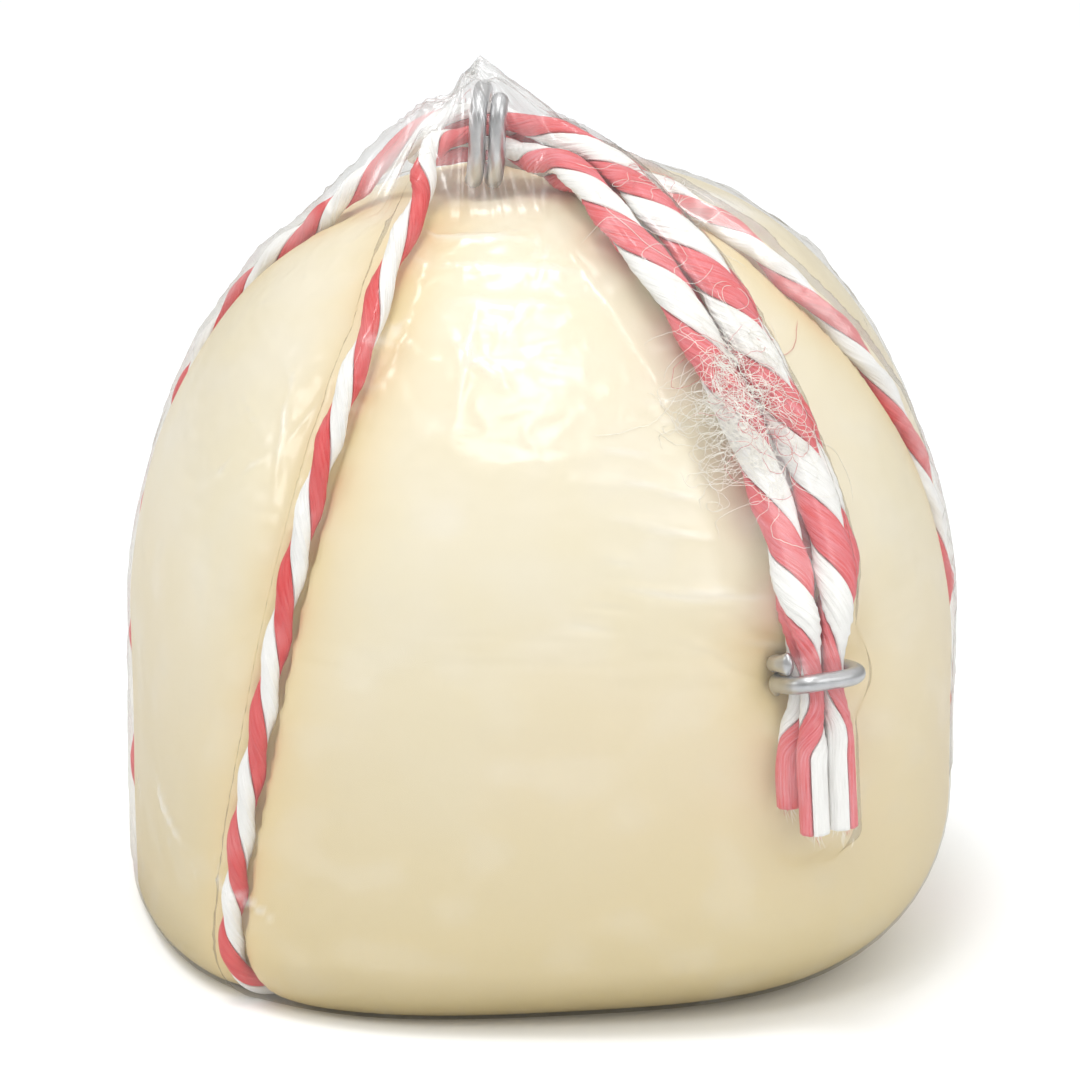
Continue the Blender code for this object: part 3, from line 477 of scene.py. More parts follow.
# %% [markdown]
# ## Meshes from rows of points
# Skins and tubes are both rows of points joined by four-sided faces. One helper makes the faces of a
# skin that closes on itself, and of a tube with capped ends. A float attribute can carry a mask that
# only this stage knows, such as how near a point is to the twine, to the material.

# %% Helpers for meshes


def put_mesh(name, points, faces, masks=None):
    mesh = bpy.data.meshes.new(name)
    mesh.from_pydata(points.tolist(), [], faces)
    mesh.update()
    mesh.shade_smooth()
    for mask, values in (masks or {}).items():
        mesh.attributes.new(mask, "FLOAT", "POINT").data.foreach_set("value", values.astype(np.float32))
    made = bpy.data.objects.new(name, mesh)
    bpy.context.scene.collection.objects.link(made)
    return made


def capped_rows(grid, low_end, high_end, first=0):
    """Points and faces of rows of points that close round, with a cap of triangles at both ends."""
    rows, columns = grid.shape[:2]
    points = np.concatenate([grid.reshape(-1, 3), [low_end, high_end]])
    index = np.arange(rows * columns).reshape(rows, columns) + first
    beside = np.roll(index, -1, axis=1)
    faces = np.stack([index[:-1], beside[:-1], beside[1:], index[1:]], axis=-1).reshape(-1, 4).tolist()
    low, high = first + rows * columns, first + rows * columns + 1
    for here, there, last, beyond in zip(*(row.tolist() for row in (index[0], beside[0], index[-1], beside[-1]))):
        faces += [[low, there, here], [high, last, beyond]]
    return points, faces


def closed_skin(name, grid, bottom, top, masks=None):
    """A skin of rows from the bottom up. A mask has one value for each point of the rows."""
    ends = {mask: np.concatenate([values.reshape(-1), [values[0].mean(), values[-1].mean()]])
            for mask, values in (masks or {}).items()}
    return put_mesh(name, *capped_rows(grid, bottom, top), ends)


def tube_parts(rings, first=0):
    return capped_rows(rings, rings[0].mean(axis=0), rings[-1].mean(axis=0), first)


def tube_frames(line, centre):
    """Heading, sideways and outward directions along a line, where outward points away from a centre."""
    heading = unit(np.gradient(line, axis=0))
    outward = line - centre
    outward = unit(outward - (outward * heading).sum(axis=1, keepdims=True) * heading)
    return heading, np.cross(outward, heading), outward


def ripple(points, size, seed):
    """Smooth noise, about -1 to 1, at points that are first divided by a size along X, Y and Z."""
    scaled = points.reshape(-1, 3) / np.asarray(size, float) + seed
    values = [noise.noise(place) for place in scaled.tolist()]
    return np.array(values).reshape(points.shape[:-1])


def search_tree(places):
    """A tree that finds the nearest of many places quickly."""
    tree = KDTree(len(places))
    for index, place in enumerate(places.tolist()):
        tree.insert(place, index)
    tree.balance()
    return tree

# %% [markdown]
# ## Body of the cheese
# The body is one fine skin. Each strand of twine is pressed into it: where the strand lies, the skin goes
# down round it, and a soft shoulder leads into the groove, because firm fresh curd gives way gradually.
# A boolean would leave a sharp cut, so the points are moved by a formula instead.

# %% How deep the twine presses in
BED_PLAY = 0.15 * MM
BED_EDGE = 0.9 * MM
CONTACT_FROM, CONTACT_TO = -4.0 * MM, -1.2 * MM
SHOULDER_DEPTH = 0.7 * MM
SHOULDER_WIDTH = 5.0 * MM
CLIP_REACH = 14 * MM
FAR_AWAY = 1.0


def loop_points(length):
    route = routes[length]
    high = np.linalg.norm(route["line"] - GATHER, axis=1) < CLIP_REACH
    return route["line"][~route["on_tail"] & ~high]


def groove_depth(points, normals, places, radius):
    """How deep a wire or strand presses each point in, and how far aside of it the point is."""
    tree = search_tree(places)
    depth, beside = np.zeros(len(points)), np.full(len(points), FAR_AWAY)
    for index, (point, normal) in enumerate(zip(points, normals)):
        _, nearest, distance = tree.find(point)
        if distance > 4 * SHOULDER_WIDTH:
            continue
        offset = places[nearest] - point
        height = offset @ normal
        aside = math.sqrt(max(offset @ offset - height * height, 0))
        inside = math.sqrt(max(radius**2 - aside**2, 0)) - height
        edge = max(-height, 0) * math.exp(-(((aside - radius) / BED_EDGE) ** 2))
        contact = float(smooth_step(-height, CONTACT_FROM, CONTACT_TO))
        shoulder = SHOULDER_DEPTH * contact * math.exp(-((aside / SHOULDER_WIDTH) ** 2))
        depth[index] = max(inside if aside < radius else edge, 0) + shoulder
        beside[index] = aside + max(height - radius, 0)
    return depth, beside

# %% The body
CHEESE_COLUMNS = 420
CHEESE_GROWTH = 0.3 * MM
CHEESE_BOTTOM = 0.1 * MM
HAND_MARK_SIZE = (26 * MM, 26 * MM, 22 * MM)
HAND_MARK_DEPTH = 0.35 * MM
# How far the painted shade beside the twine and the lower clip reaches
TWINE_SHADE_WIDTH = 7.5 * MM

base_shares = np.linspace(0.03, 0.985, 44)
wall_travels = np.concatenate([np.linspace(0, 1, 20)[:-1], np.linspace(1, 2, 34)[:-1],
                               np.linspace(2, 2.93, 92), np.linspace(2.935, 2.99, 8)])
azimuths = np.arange(CHEESE_COLUMNS) * 360 / CHEESE_COLUMNS
rim = skin_point(azimuths, 0.0)
base = base_shares[:, None, None] * rim[None]
upper = skin_point(azimuths[None], wall_travels[:, None])
normals = np.concatenate([np.broadcast_to([0.0, 0.0, -1.0], base.shape),
                          skin_normal(azimuths[None], wall_travels[:, None])])
skin = np.concatenate([base, upper])
skin[..., :2] += normals[..., :2] * CHEESE_GROWTH
skin[..., 2] = np.maximum(skin[..., 2] + np.maximum(normals[..., 2], 0) * CHEESE_GROWTH, CHEESE_BOTTOM)
pressed = np.zeros(skin.shape[:2])
beside = np.full(skin.shape[:2], FAR_AWAY)
pressing = [(loop_points(length), TWINE_RADIUS + BED_PLAY) for length in LENGTHS]
pressing.append((clip_lines["clip_tail"][0], WIRE_RADIUS + BED_PLAY))
for places, radius in pressing:
    depth, aside = groove_depth(skin.reshape(-1, 3), normals.reshape(-1, 3), places, radius)
    pressed = np.maximum(pressed, depth.reshape(pressed.shape))
    beside = np.minimum(beside, aside.reshape(beside.shape))
skin = skin - normals * pressed[..., None]
hand_marks = ripple(skin, HAND_MARK_SIZE, 3.1) * HAND_MARK_DEPTH
skin[..., :2] += normals[..., :2] * hand_marks[..., None]
# Masks for the material: the nearness of the twine and the lower clip, for painted shade beside them, and the
# height, for painted shade towards the base and for keeping the pink clouds low
masks = {"near_twine": np.exp(-((beside / TWINE_SHADE_WIDTH) ** 2)), "height": skin[..., 2]}
cheese = closed_skin("cheese_body", skin, (0, 0, CHEESE_BOTTOM), skin[-1].mean(axis=0), masks)
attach(cheese, "root")
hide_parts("cheese")
print("cheese", len(cheese.data.polygons), "faces, deepest groove", round(float(pressed.max()) / MM, 1), "mm")

# %% [markdown]
# ## Twist of the twine
# The twine is a red and a white ply, twisted round each other about once in 19 mm. The twist is uneven, as
# hand-pulled twine is, so it is counted from marks: the places where the red ply faces the viewer. At each
# mark the turn is worked out from the direction to the camera, and between marks it grows evenly.

# %% Marks of the twist
STRAND_PITCH = 18.8 * MM
HEART = np.array([0.0, 0.0, 45.0 * MM])
# Where the red ply comes to the front: millimetres along each length, from its strand's widest place
RED_ON_STRANDS = {
    "front_left": (-80, -53.5, -35, -16, 3.5, 23, 38),
    "left": (-82.5, -68),
    "right": (13.5, 36, 58, 79),
    "back": (),
}
# And millimetres down the tail from the top clip
RED_ON_TAIL = {
    "front_left": (101.5, 84.5, 59, 36.5, 13),
    "left": (103, 85.5, 65, 48, 27, 6),
    "right": (64.5,),
    "back": (),
}
# Below the lower clip the plies have loosened and lie side by side: the side on which the red ply ends
RED_AT_END = {"front_left": (-1.0, 0.2, 0.0), "left": (1.0, 0.7, 0.0), "right": (0.4, 1.0, 0.0),
              "back": (-0.5, -0.9, 0.0)}
LOOSE_FROM, LOOSE_TO = 1.5 * MM, 11 * MM

# %% Turns of the twist


def facing_turn(line, direction):
    """The turn at which the red ply lies on the side that a direction points to."""
    _, sideways, outward = tube_frames(line, HEART)
    return np.arctan2((direction * sideways).sum(axis=1), (direction * outward).sum(axis=1)) / math.tau


def loosen_ends(length, turns):
    """Past the lower clip each strand's turn settles at the side that its red ply ends on."""
    route = routes[length]
    line = route["line"]
    half = np.arange(len(line)) < len(line) // 2
    place = middle_line[clip_at]
    for name, side in zip(LENGTHS[length], (half, ~half)):
        past = ((line - place) * clip_heading).sum(axis=1)
        ending = np.flatnonzero(route["on_tail"] & side & (past > 0))
        at_clip = turns[ending[np.abs(past[ending]).argmin()]]
        settled = facing_turn(line[ending], np.array(RED_AT_END[name]))
        settled = settled + np.round(at_clip - settled)
        share = smooth_step(past[ending], LOOSE_FROM, LOOSE_TO)
        turns[ending] = turns[ending] * (1 - share) + settled * share
    return turns


def turns_along(length):
    """Turns of the twist at each point of one length."""
    line, on_tail = routes[length]["line"], routes[length]["on_tail"]
    run = run_along(line)
    half = np.arange(len(line)) < len(line) // 2
    first, second = LENGTHS[length]
    groups = []
    for name, side in ((first, half), (second, ~half)):
        azimuth = np.interp(2.0, STRAND_TRAVELS, STRAND_AZIMUTHS[name])
        widest = run[nearest_index(line, skin_point(azimuth, 2.0))]
        on_strand = [widest + distance * MM for distance in RED_ON_STRANDS[name]]
        tail = np.flatnonzero(on_tail & side)
        middle_run = run_along(middle_line)
        marked = [middle_line[np.abs(middle_run - distance * MM).argmin()] for distance in RED_ON_TAIL[name]]
        on_this_tail = [run[tail[nearest_index(line[tail], place)]] for place in marked]
        groups += [on_this_tail, on_strand] if name == first else [on_strand, on_this_tail]
    facing = facing_turn(line, unit(np.array(camera.location) - line))
    marks = []
    for group in groups:
        for index, place in enumerate(group):
            turn = float(np.interp(place, run, facing))
            if marks:
                expected = 1.0 if index else (place - marks[-1][0]) / STRAND_PITCH
                turn += round(marks[-1][1] + expected - turn)
            marks.append((place, turn))
    marks.insert(0, (run[0], marks[0][1] - (marks[0][0] - run[0]) / STRAND_PITCH))
    marks.append((run[-1], marks[-1][1] + (run[-1] - marks[-1][0]) / STRAND_PITCH))
    runs, turns = np.array(marks).T
    pitches = np.diff(runs) / np.diff(turns) / MM
    print("twine", length, "turns once in", round(pitches.min(), 1), "to", round(pitches.max(), 1), "mm")
    return loosen_ends(length, np.interp(run, runs, turns))


turns = {length: turns_along(length) for length in LENGTHS}

# %% [markdown]
# ## Plies of the twine
# Each ply is a bundle of fine filaments. A half-round section sweeps along the strand and turns as it
# goes, with shallow ridges that follow the filaments, and it swells and thins a little. On the pulled
# strands the plies are narrow along the gap between them, so the strand looks thinner where one ply lies in
# front of the other. Where the film presses the tail, the section is wider and lower, as in the solids.

# %% Section of a ply
PLY_GAP = 0.05 * MM
PLY_SECTION_POINTS = 32
RIDGE_DEPTH = 0.035
STRAND_NARROWING = 0.70
TAIL_NARROWING = 0.88
STRAND_FULLNESS = 0.93
# Ridges round each ply, and how fast they drift round it, in radians a millimetre
RIDGES = ((7, 0.11), (10, -0.07), (13, 0.16))
SWELL, SWELL_SIZE = 0.06, (5 * MM, 5 * MM, 5 * MM)
SLACK_BLEND = 20
YARN_MAP_LENGTH = 10 * MM
LOWEST_YARN = 0.15 * MM


def ply_section():
    """The half-round section with softened corners, as distances towards and along the ply's gap."""
    arc_count = PLY_SECTION_POINTS * 2 // 3
    flat_count = PLY_SECTION_POINTS - arc_count
    angles = np.linspace(-math.pi / 2, math.pi / 2, arc_count)
    arc = np.stack([np.cos(angles), np.sin(angles)], axis=1)
    flat = np.stack([np.zeros(flat_count), np.linspace(1, -1, flat_count + 2)[1:-1]], axis=1)
    section = np.concatenate([arc, flat])
    for _ in range(2):
        section = (np.roll(section, 1, axis=0) + 2 * section + np.roll(section, -1, axis=0)) / 4
    section[:, 0] += PLY_GAP / 2 / TWINE_RADIUS
    return section * TWINE_RADIUS


def map_yarn(made, run, count):
    """A map for the yarn's finish: once round the ply along X, and centimetres along it on Y."""
    places = np.zeros((len(run) * count + 2, 2))
    places[:-2, 0] = np.tile(np.arange(count) / count, len(run))
    places[:-2, 1] = np.repeat(run / YARN_MAP_LENGTH, count)
    places[-2:, 1] = run[0] / YARN_MAP_LENGTH, run[-1] / YARN_MAP_LENGTH
    corners = np.empty(len(made.data.loops), dtype=np.int32)
    made.data.loops.foreach_get("vertex_index", corners)
    made.data.uv_layers.new(name="yarn").data.foreach_set("uv", places[corners].astype(np.float32).ravel())


def ply_mesh(name, length, side):
    route = routes[length]
    line, run = route["line"], run_along(route["line"])
    _, sideways, outward = tube_frames(line, HEART)
    angle = turns[length][:, None] * math.tau
    towards = (np.cos(angle) * outward + np.sin(angle) * sideways) * side
    beside = (np.cos(angle) * sideways - np.sin(angle) * outward) * side
    section = ply_section()
    round_angle = np.arange(len(section)) * math.tau / len(section)
    ridges = sum(np.sin(count * round_angle[None] + drift * run[:, None] / MM + side * count)
                 for count, drift in RIDGES)
    swell = 1 + SWELL * ripple(line, SWELL_SIZE, side * 2.7 + len(length))
    blend = np.ones(2 * SLACK_BLEND + 1) / (2 * SLACK_BLEND + 1)
    slack = np.convolve(np.pad(route["on_tail"].astype(float), SLACK_BLEND, "edge"), blend, "valid")
    fullness = STRAND_FULLNESS + (1 - STRAND_FULLNESS) * slack
    thick = (route["size"] * swell * fullness)[:, None] * (1 + RIDGE_DEPTH / 2 * ridges)
    narrow = (STRAND_NARROWING + (TAIL_NARROWING - STRAND_NARROWING) * slack)[:, None, None]
    offset = section[None, :, 0, None] * towards[:, None]
    offset = (offset + section[None, :, 1, None] * narrow * beside[:, None]) * thick[..., None]
    across, up, flat = route["across"][:, None], route["up"][:, None], route["flat"][:, None, None]
    wider = across * (offset * across).sum(axis=2, keepdims=True) * (TAIL_WIDTH - 1)
    lower = up * (offset * up).sum(axis=2, keepdims=True) * (1 - TAIL_HEIGHT)
    rings = line[:, None] + offset + (wider - lower) * flat
    rings[..., 2] = np.maximum(rings[..., 2], LOWEST_YARN)
    # The share of the slack tail, where the red ply is painted paler as sheen of the film lying over it
    masks = {"in_tail": np.concatenate([np.repeat(slack, len(section)), slack[[0, -1]]])}
    made = put_mesh(name, *tube_parts(rings), masks)
    map_yarn(made, run, len(section))
    return made


plies = {}
for length in LENGTHS:
    for colour, side in (("red", 1), ("white", -1)):
        ply = ply_mesh(f"ply_{length}_{colour}", length, side)
        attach(ply, "root")
        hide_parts(f"twine_{length}_{colour}")
        plies[length, colour] = ply
print("plies", sum(len(ply.data.polygons) for ply in plies.values()), "faces")

# %% [markdown]
# ## Clips
# A swept round section follows the wire's route. On the lower clip the tool's jaws have pressed the wire's
# ends flat.

# %% The clips
END_PRESS = {"clip_top": 0.0, "clip_tail": 0.35}
END_FROM, END_TO = 0.5 * MM, 3.0 * MM
END_ROUNDING = 0.8 * MM
WIRE_SIDES = 16


def clip_mesh(name, line, axis, end_press):
    heading = unit(np.gradient(line, axis=0))
    side = unit(axis - (axis * heading).sum(axis=1, keepdims=True) * heading)
    up = np.cross(heading, side)
    run = run_along(line)
    from_end = np.minimum(run, run[-1] - run)
    press = 1 - end_press * (1 - smooth_step(from_end, END_FROM, END_TO))
    round_end = np.sqrt(np.clip(from_end / END_ROUNDING, 0.04, 1))
    angle = np.arange(WIRE_SIDES) * math.tau / WIRE_SIDES
    wide = (np.cos(angle)[None] * (round_end * (2 - press))[:, None])[..., None] * side[:, None]
    high = (np.sin(angle)[None] * (round_end * press)[:, None])[..., None] * up[:, None]
    return put_mesh(name, *tube_parts(line[:, None] + WIRE_RADIUS * (wide + high)))


clips = []
for node, (line, axis) in clip_lines.items():
    clip = clip_mesh("wire_" + node, line, axis, END_PRESS[node])
    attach(clip, "root")
    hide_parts(node)
    clips.append(clip)
print("clips", sum(len(clip.data.polygons) for clip in clips), "faces")

# %% [markdown]
# ## Film
# Shrink film lies tight on the cheese, spans the hollows beside the twine like a tent, and gathers to a
# crumpled peak over the top clip. One closed skin with a height above the cheese for each point makes all
# of these: the height is the largest that any thing under the film asks for. The grid is finer at the front.

# %% How far the film stands off
FILM_GAP = 0.25 * MM
FILM_CLEARANCE = 0.2 * MM
FILM_SLOPE = 1.5
FILM_CLIP_SLOPE = 1.1
FILM_FLAT = 1.5 * MM
FILM_CLIP_FLAT = 1.2 * MM
PEAK_HEIGHT = 124.2 * MM
PEAK_LEAN = -0.9 * MM
FRONT_AZIMUTHS = np.arange(-75, 75, 0.5)
BACK_AZIMUTHS = np.arange(75, 285, 1.4)
FILM_TRAVELS = np.concatenate([np.linspace(0, 1, 15)[:-1], np.linspace(1, 2, 35)[:-1],
                               np.linspace(2, 2.9, 105)[:-1], np.linspace(2.9, 2.999, 44)])
POINTS_AT_ONCE = 4000
TENT_ROUNDS = 10


def tent_lift(points, normals, contents):
    """How far the film stands off the skin: it is tented over whatever lies on the cheese."""
    shape = points.shape[:-1]
    points, normals = points.reshape(-1, 3), normals.reshape(-1, 3)
    lift = np.full(len(points), FILM_GAP)
    for start in range(0, len(points), POINTS_AT_ONCE):
        part = slice(start, start + POINTS_AT_ONCE)
        for places, radius, slope, flat in contents:
            offset = places[None] - points[part, None]
            height = (offset * normals[part, None]).sum(axis=2)
            aside = np.sqrt(np.maximum((offset**2).sum(axis=2) - height**2, 0))
            tent = height + radius + FILM_CLEARANCE - slope * np.maximum(aside - flat, 0)
            lift[part] = np.maximum(lift[part], tent.max(axis=1))
    return lift.reshape(shape)


def soften(values, times):
    """Evens out neighbouring values of a grid whose columns close on themselves."""
    for _ in range(times):
        values = (np.roll(values, 1, axis=1) + 2 * values + np.roll(values, -1, axis=1)) / 4
        padded = np.pad(values, ((1, 1), (0, 0)), "edge")
        values = np.maximum((padded[:-2] + 2 * padded[1:-1] + padded[2:]) / 4, 0)
    return values

# %% The film's tent
contents = []
for route in routes.values():
    half_width, half_height = strand_half_sizes(route["flat"][None, ::3], route["size"][None, ::3])
    contents.append((route["line"][::3], half_height, FILM_SLOPE, FILM_FLAT * half_width / TWINE_RADIUS))
for line, _ in clip_lines.values():
    contents.append((line[::3], WIRE_RADIUS, FILM_CLIP_SLOPE, FILM_CLIP_FLAT))
peak = np.array([GATHER_X, GATHER_Y, PEAK_HEIGHT])
contents.append((peak[None], -FILM_CLEARANCE, FILM_CLIP_SLOPE, 0.0))

film_azimuths = np.concatenate([FRONT_AZIMUTHS, BACK_AZIMUTHS])
film_skin = skin_point(film_azimuths[None], FILM_TRAVELS[:, None])
film_normal = skin_normal(film_azimuths[None], FILM_TRAVELS[:, None])
film_skin = film_skin + film_normal * CHEESE_GROWTH
tent = tent_lift(film_skin, film_normal, contents)
tent = np.maximum(tent, soften(tent, TENT_ROUNDS))
from_gather = np.linalg.norm(film_skin[..., :2] - GATHER[:2], axis=2)
around_gather = np.arctan2(film_skin[..., 0] - GATHER_X, -(film_skin[..., 1] - GATHER_Y))
print("film stands off by up to", round(float(tent.max()) / MM, 1), "mm")

# %% [markdown]
# ## Creases of the film
# Shrink film gathers into creases where it is pulled: away from the clip, across the hollow under it, round
# the bottom edge and beside the twine. Each named crease runs between two places on the skin, given as an
# azimuth and a travel, and smaller ones are drawn at random in a few areas. All are low ridges that fade at
# their ends.

# %% Creases of the film
# Azimuth and travel at both ends, then the ridge's height and half-width in millimetres
NAMED_CREASES = (
    (-51.5, 1.43, -37, 1.16, 0.5, 0.7), (-48, 1.33, -34, 1.12, 0.35, 0.6), (-78, 1.56, -50, 1.33, 0.35, 0.8),
    (-86, 1.78, -49, 1.22, 0.3, 0.8), (-80, 1.42, -62, 1.2, 0.3, 0.7), (43.5, 1.8, 40.5, 1.0, 0.35, 0.6),
    (45.5, 1.7, 43.5, 1.15, 0.25, 0.5), (-30, 2.80, 12, 2.775, 0.5, 0.9), (-26, 2.735, 22, 2.70, 0.5, 1.0),
    (-20, 2.66, 14, 2.63, 0.4, 1.0), (-16, 2.60, -4, 2.50, 0.45, 0.9), (-9, 2.66, -13, 2.45, 0.45, 0.8),
    (4, 2.66, -6, 2.56, 0.4, 0.9), (-62, 2.47, -44, 2.41, 0.35, 0.7), (-46, 2.55, -41, 2.33, 0.35, 0.7),
    (-36, 2.51, -42, 2.41, 0.35, 0.7), (-52, 2.33, -43, 2.41, 0.35, 0.7), (6, 2.21, 30, 2.225, 0.45, 0.9),
    (8, 2.41, 21, 2.40, 0.45, 0.7), (12, 2.37, 27, 2.345, 0.45, 0.7), (10, 2.31, 27, 2.30, 0.45, 0.8),
    (18, 2.47, 27, 2.44, 0.45, 0.6),
)
# Areas of random creases: azimuths, travels, count, lean of the crease from level in degrees, and length in
# millimetres
CREASE_AREAS = (
    ((-75, 30), (2.55, 2.86), 34, (-35, 35), (5, 13)),
    ((-28, 12), (2.42, 2.82), 30, (-75, 75), (4, 11)),
    ((-62, -32), (2.28, 2.55), 16, (-70, 70), (4, 9)),
    ((2, 30), (2.12, 2.5), 30, (-8, 8), (6, 14)),
    ((-95, -48), (0.9, 2.1), 20, (-60, -15), (6, 15)),
    ((36, 110), (1.2, 2.75), 46, (-60, 60), (4, 12)),
    ((100, 260), (1.0, 2.85), 110, (-60, 60), (5, 14)),
    ((-60, 60), (0.55, 0.95), 22, (60, 120), (3, 7)),
)
RANDOM_CREASE_HEIGHT = 0.22 * MM
RANDOM_CREASE_WIDTH = 0.6 * MM
CREASE_SEED = 11
CREASE_POINTS = 14
CREASE_FADE = 0.7


def crease_ends():
    """Every crease as two places, each an azimuth and a travel, with its height and half-width."""
    chance = np.random.default_rng(CREASE_SEED)
    creases = [(*crease[:4], crease[4] * MM, crease[5] * MM) for crease in NAMED_CREASES]
    for (az_low, az_high), (low, high), count, leans, lengths in CREASE_AREAS:
        for _ in range(count):
            azimuth, travel = chance.uniform(az_low, az_high), chance.uniform(low, high)
            lean, size = math.radians(chance.uniform(*leans)), chance.uniform(*lengths) * MM
            here = skin_point(azimuth, travel)
            per_degree = np.linalg.norm(skin_point(azimuth + 1, travel) - here)
            per_travel = np.linalg.norm(skin_point(azimuth, travel + 0.01) - here) / 0.01
            side, rise = size * math.cos(lean) / 2 / per_degree, size * math.sin(lean) / 2 / per_travel
            creases.append((azimuth - side, travel - rise, azimuth + side, travel + rise,
                            RANDOM_CREASE_HEIGHT * chance.uniform(0.5, 1.3),
                            RANDOM_CREASE_WIDTH * chance.uniform(0.7, 1.5)))
    return creases


def crease_heights(points, creases):
    """The height of all ridges at each point of the film."""
    flat_points = points.reshape(-1, 3)
    tree = search_tree(flat_points)
    heights = np.zeros(len(flat_points))
    for azimuth_a, travel_a, azimuth_b, travel_b, height, width in creases:
        share = np.linspace(0, 1, CREASE_POINTS)
        line = skin_point(azimuth_a + (azimuth_b - azimuth_a) * share, travel_a + (travel_b - travel_a) * share)
        line = smooth_line(line, width / 2)
        near = {}
        for place, along in zip(line, np.linspace(0, 1, len(line))):
            strength = math.sin(math.pi * along) ** CREASE_FADE
            for _, index, distance in tree.find_range(place, width * 2.2):
                value = height * strength * math.exp(-((distance / width) ** 2))
                near[index] = max(near.get(index, 0.0), value)
        for index, value in near.items():
            heights[index] += value
    return heights.reshape(points.shape[:-1])


all_creases = crease_ends()
creases = crease_heights(film_skin, all_creases)
print(len(all_creases), "creases, the highest", round(float(creases.max()) / MM, 2), "mm")

# %% [markdown]
# ## Waves and crumples of the film
# Between the creases the film is never quite smooth. Smooth noise gives soft waves on the dome, and noise
# folded at its zero line gives sharper crinkles and the crumpled peak. Pleats run out from the gather like
# the folds of a drawn purse, which a few sines of the angle round it give.

# %% Surface of the film
WAVE_SIZE, WAVE_HEIGHT = (12 * MM, 12 * MM, 6 * MM), 1.0 * MM
CRINKLE_SIZE, CRINKLE_HEIGHT = (5 * MM, 5 * MM, 2.4 * MM), 0.3 * MM
CRUMPLE_SIZE, CRUMPLE_HEIGHT = (2.8 * MM, 2.8 * MM, 2.8 * MM), 0.75 * MM
PLEAT_HEIGHT = 0.3 * MM
# Pleats round the gather, phase and share of each sine
PLEATS = ((7, 0.4, 0.4), (11, 2.1, 0.6), (17, 4.0, 0.5), (31, 1.2, 0.5))
WAVY_FROM, WAVY_TO = 60 * MM, 100 * MM
LOWEST_FILM = 0.02 * MM

upper_share = smooth_step(film_skin[..., 2], WAVY_FROM, WAVY_TO)
waves = ripple(film_skin, WAVE_SIZE, 8.5) * WAVE_HEIGHT * upper_share
crinkle = (1 - np.abs(ripple(film_skin, CRINKLE_SIZE, 2.5))) ** 5 * CRINKLE_HEIGHT * upper_share
pleats = sum(np.sin(count * around_gather + phase) * share for count, phase, share in PLEATS)
pleat_reach = smooth_step(from_gather, 1 * MM, 5 * MM) * (1 - smooth_step(from_gather, 10 * MM, 26 * MM))
crumple = (1 - np.abs(ripple(film_skin, CRUMPLE_SIZE, 5.1))) ** 3 * CRUMPLE_HEIGHT
crumple = crumple * (1 - smooth_step(from_gather, 3 * MM, 13 * MM))
lift = tent + np.maximum(waves, 0) + crinkle + np.abs(pleats) * PLEAT_HEIGHT * pleat_reach + crumple + creases
film_points = film_skin + film_normal * lift[..., None]
film_points[..., 0] += PEAK_LEAN * smooth_step(film_points[..., 2], 117 * MM, 124 * MM)
film_points[..., 2] = np.maximum(film_points[..., 2], LOWEST_FILM)
print("film goes up to", round(float(film_points[..., 2].max()) / MM, 1), "mm")

# %% [markdown]
# ## Milky places of the film, and a painted highlight
# The film looks milky where it is folded over itself: over the strands behind the tail and left of the upper
# clip, and it is whiter along its creases. Across the upper clip's lower end a white wedge is painted highlight,
# where the taut film there mirrors a light. Each place is a soft ball with a radius and an amount, and the mesh
# carries the sum as a mask called haze.

# %% The film's mesh
CLEAR_HAZE = 0.02
# The third and fourth places, across the upper clip's lower end, are the painted highlight; the others are milky
# film
# X, Y, Z and radius in millimetres, then the amount
MILKY_AND_HIGHLIGHT_PLACES = (
    (-15.6, -6, 114.6, 3.8, 0.6), (-11.6, -8, 117.4, 3.6, 0.5), (-8.4, -12, 112.4, 2.0, 0.55),
    (-6.0, -12.6, 110.6, 1.4, 0.4), (14, -3, 110.5, 5.0, 0.45), (6, 2, 113.5, 4.0, 0.3),
    (22, -6, 106.5, 5.0, 0.45), (27, -4, 104.5, 4.0, 0.3), (-8, -5, 122.6, 4.0, 0.4),
    (-2, -6, 118.5, 3.4, 0.4), (-21, -8, 109.4, 4.5, 0.4), (18.5, -19, 108, 4.0, 0.3),
    (-12, -14, 110.5, 3.0, 0.25),
)
# Milkiness of the film over the strands, up to where it lies on the cheese again
MILKY_STRANDS = {"right": 0.42, "left": 0.40, "back": 0.15}
MILKY_WIDTH = 3.2 * MM
MILKY_CREASES = 0.25
PATCH_SIZE, PATCH_HAZE = (8 * MM, 8 * MM, 6 * MM), 0.05


def film_milk_and_highlight(points):
    haze = np.full(points.shape[:-1], CLEAR_HAZE)
    for x, y, z, radius, amount in MILKY_AND_HIGHLIGHT_PLACES:
        distance = np.linalg.norm(points - np.array([x, y, z]) * MM, axis=-1)
        haze += amount * np.exp(-((distance / (radius * MM)) ** 2))
    for name, amount in MILKY_STRANDS.items():
        line = smooth_line(strand_on_skin(name)[6:], 3 * MM)
        distance = np.stack([np.linalg.norm(points - place, axis=-1) for place in line])
        haze += amount * np.exp(-((distance.min(axis=0) / MILKY_WIDTH) ** 2))
    patches = PATCH_HAZE * smooth_step(ripple(points, PATCH_SIZE, 6.6), 0.05, 0.5)
    return haze + patches + MILKY_CREASES * smooth_step(creases, 0.15 * MM, 0.5 * MM)


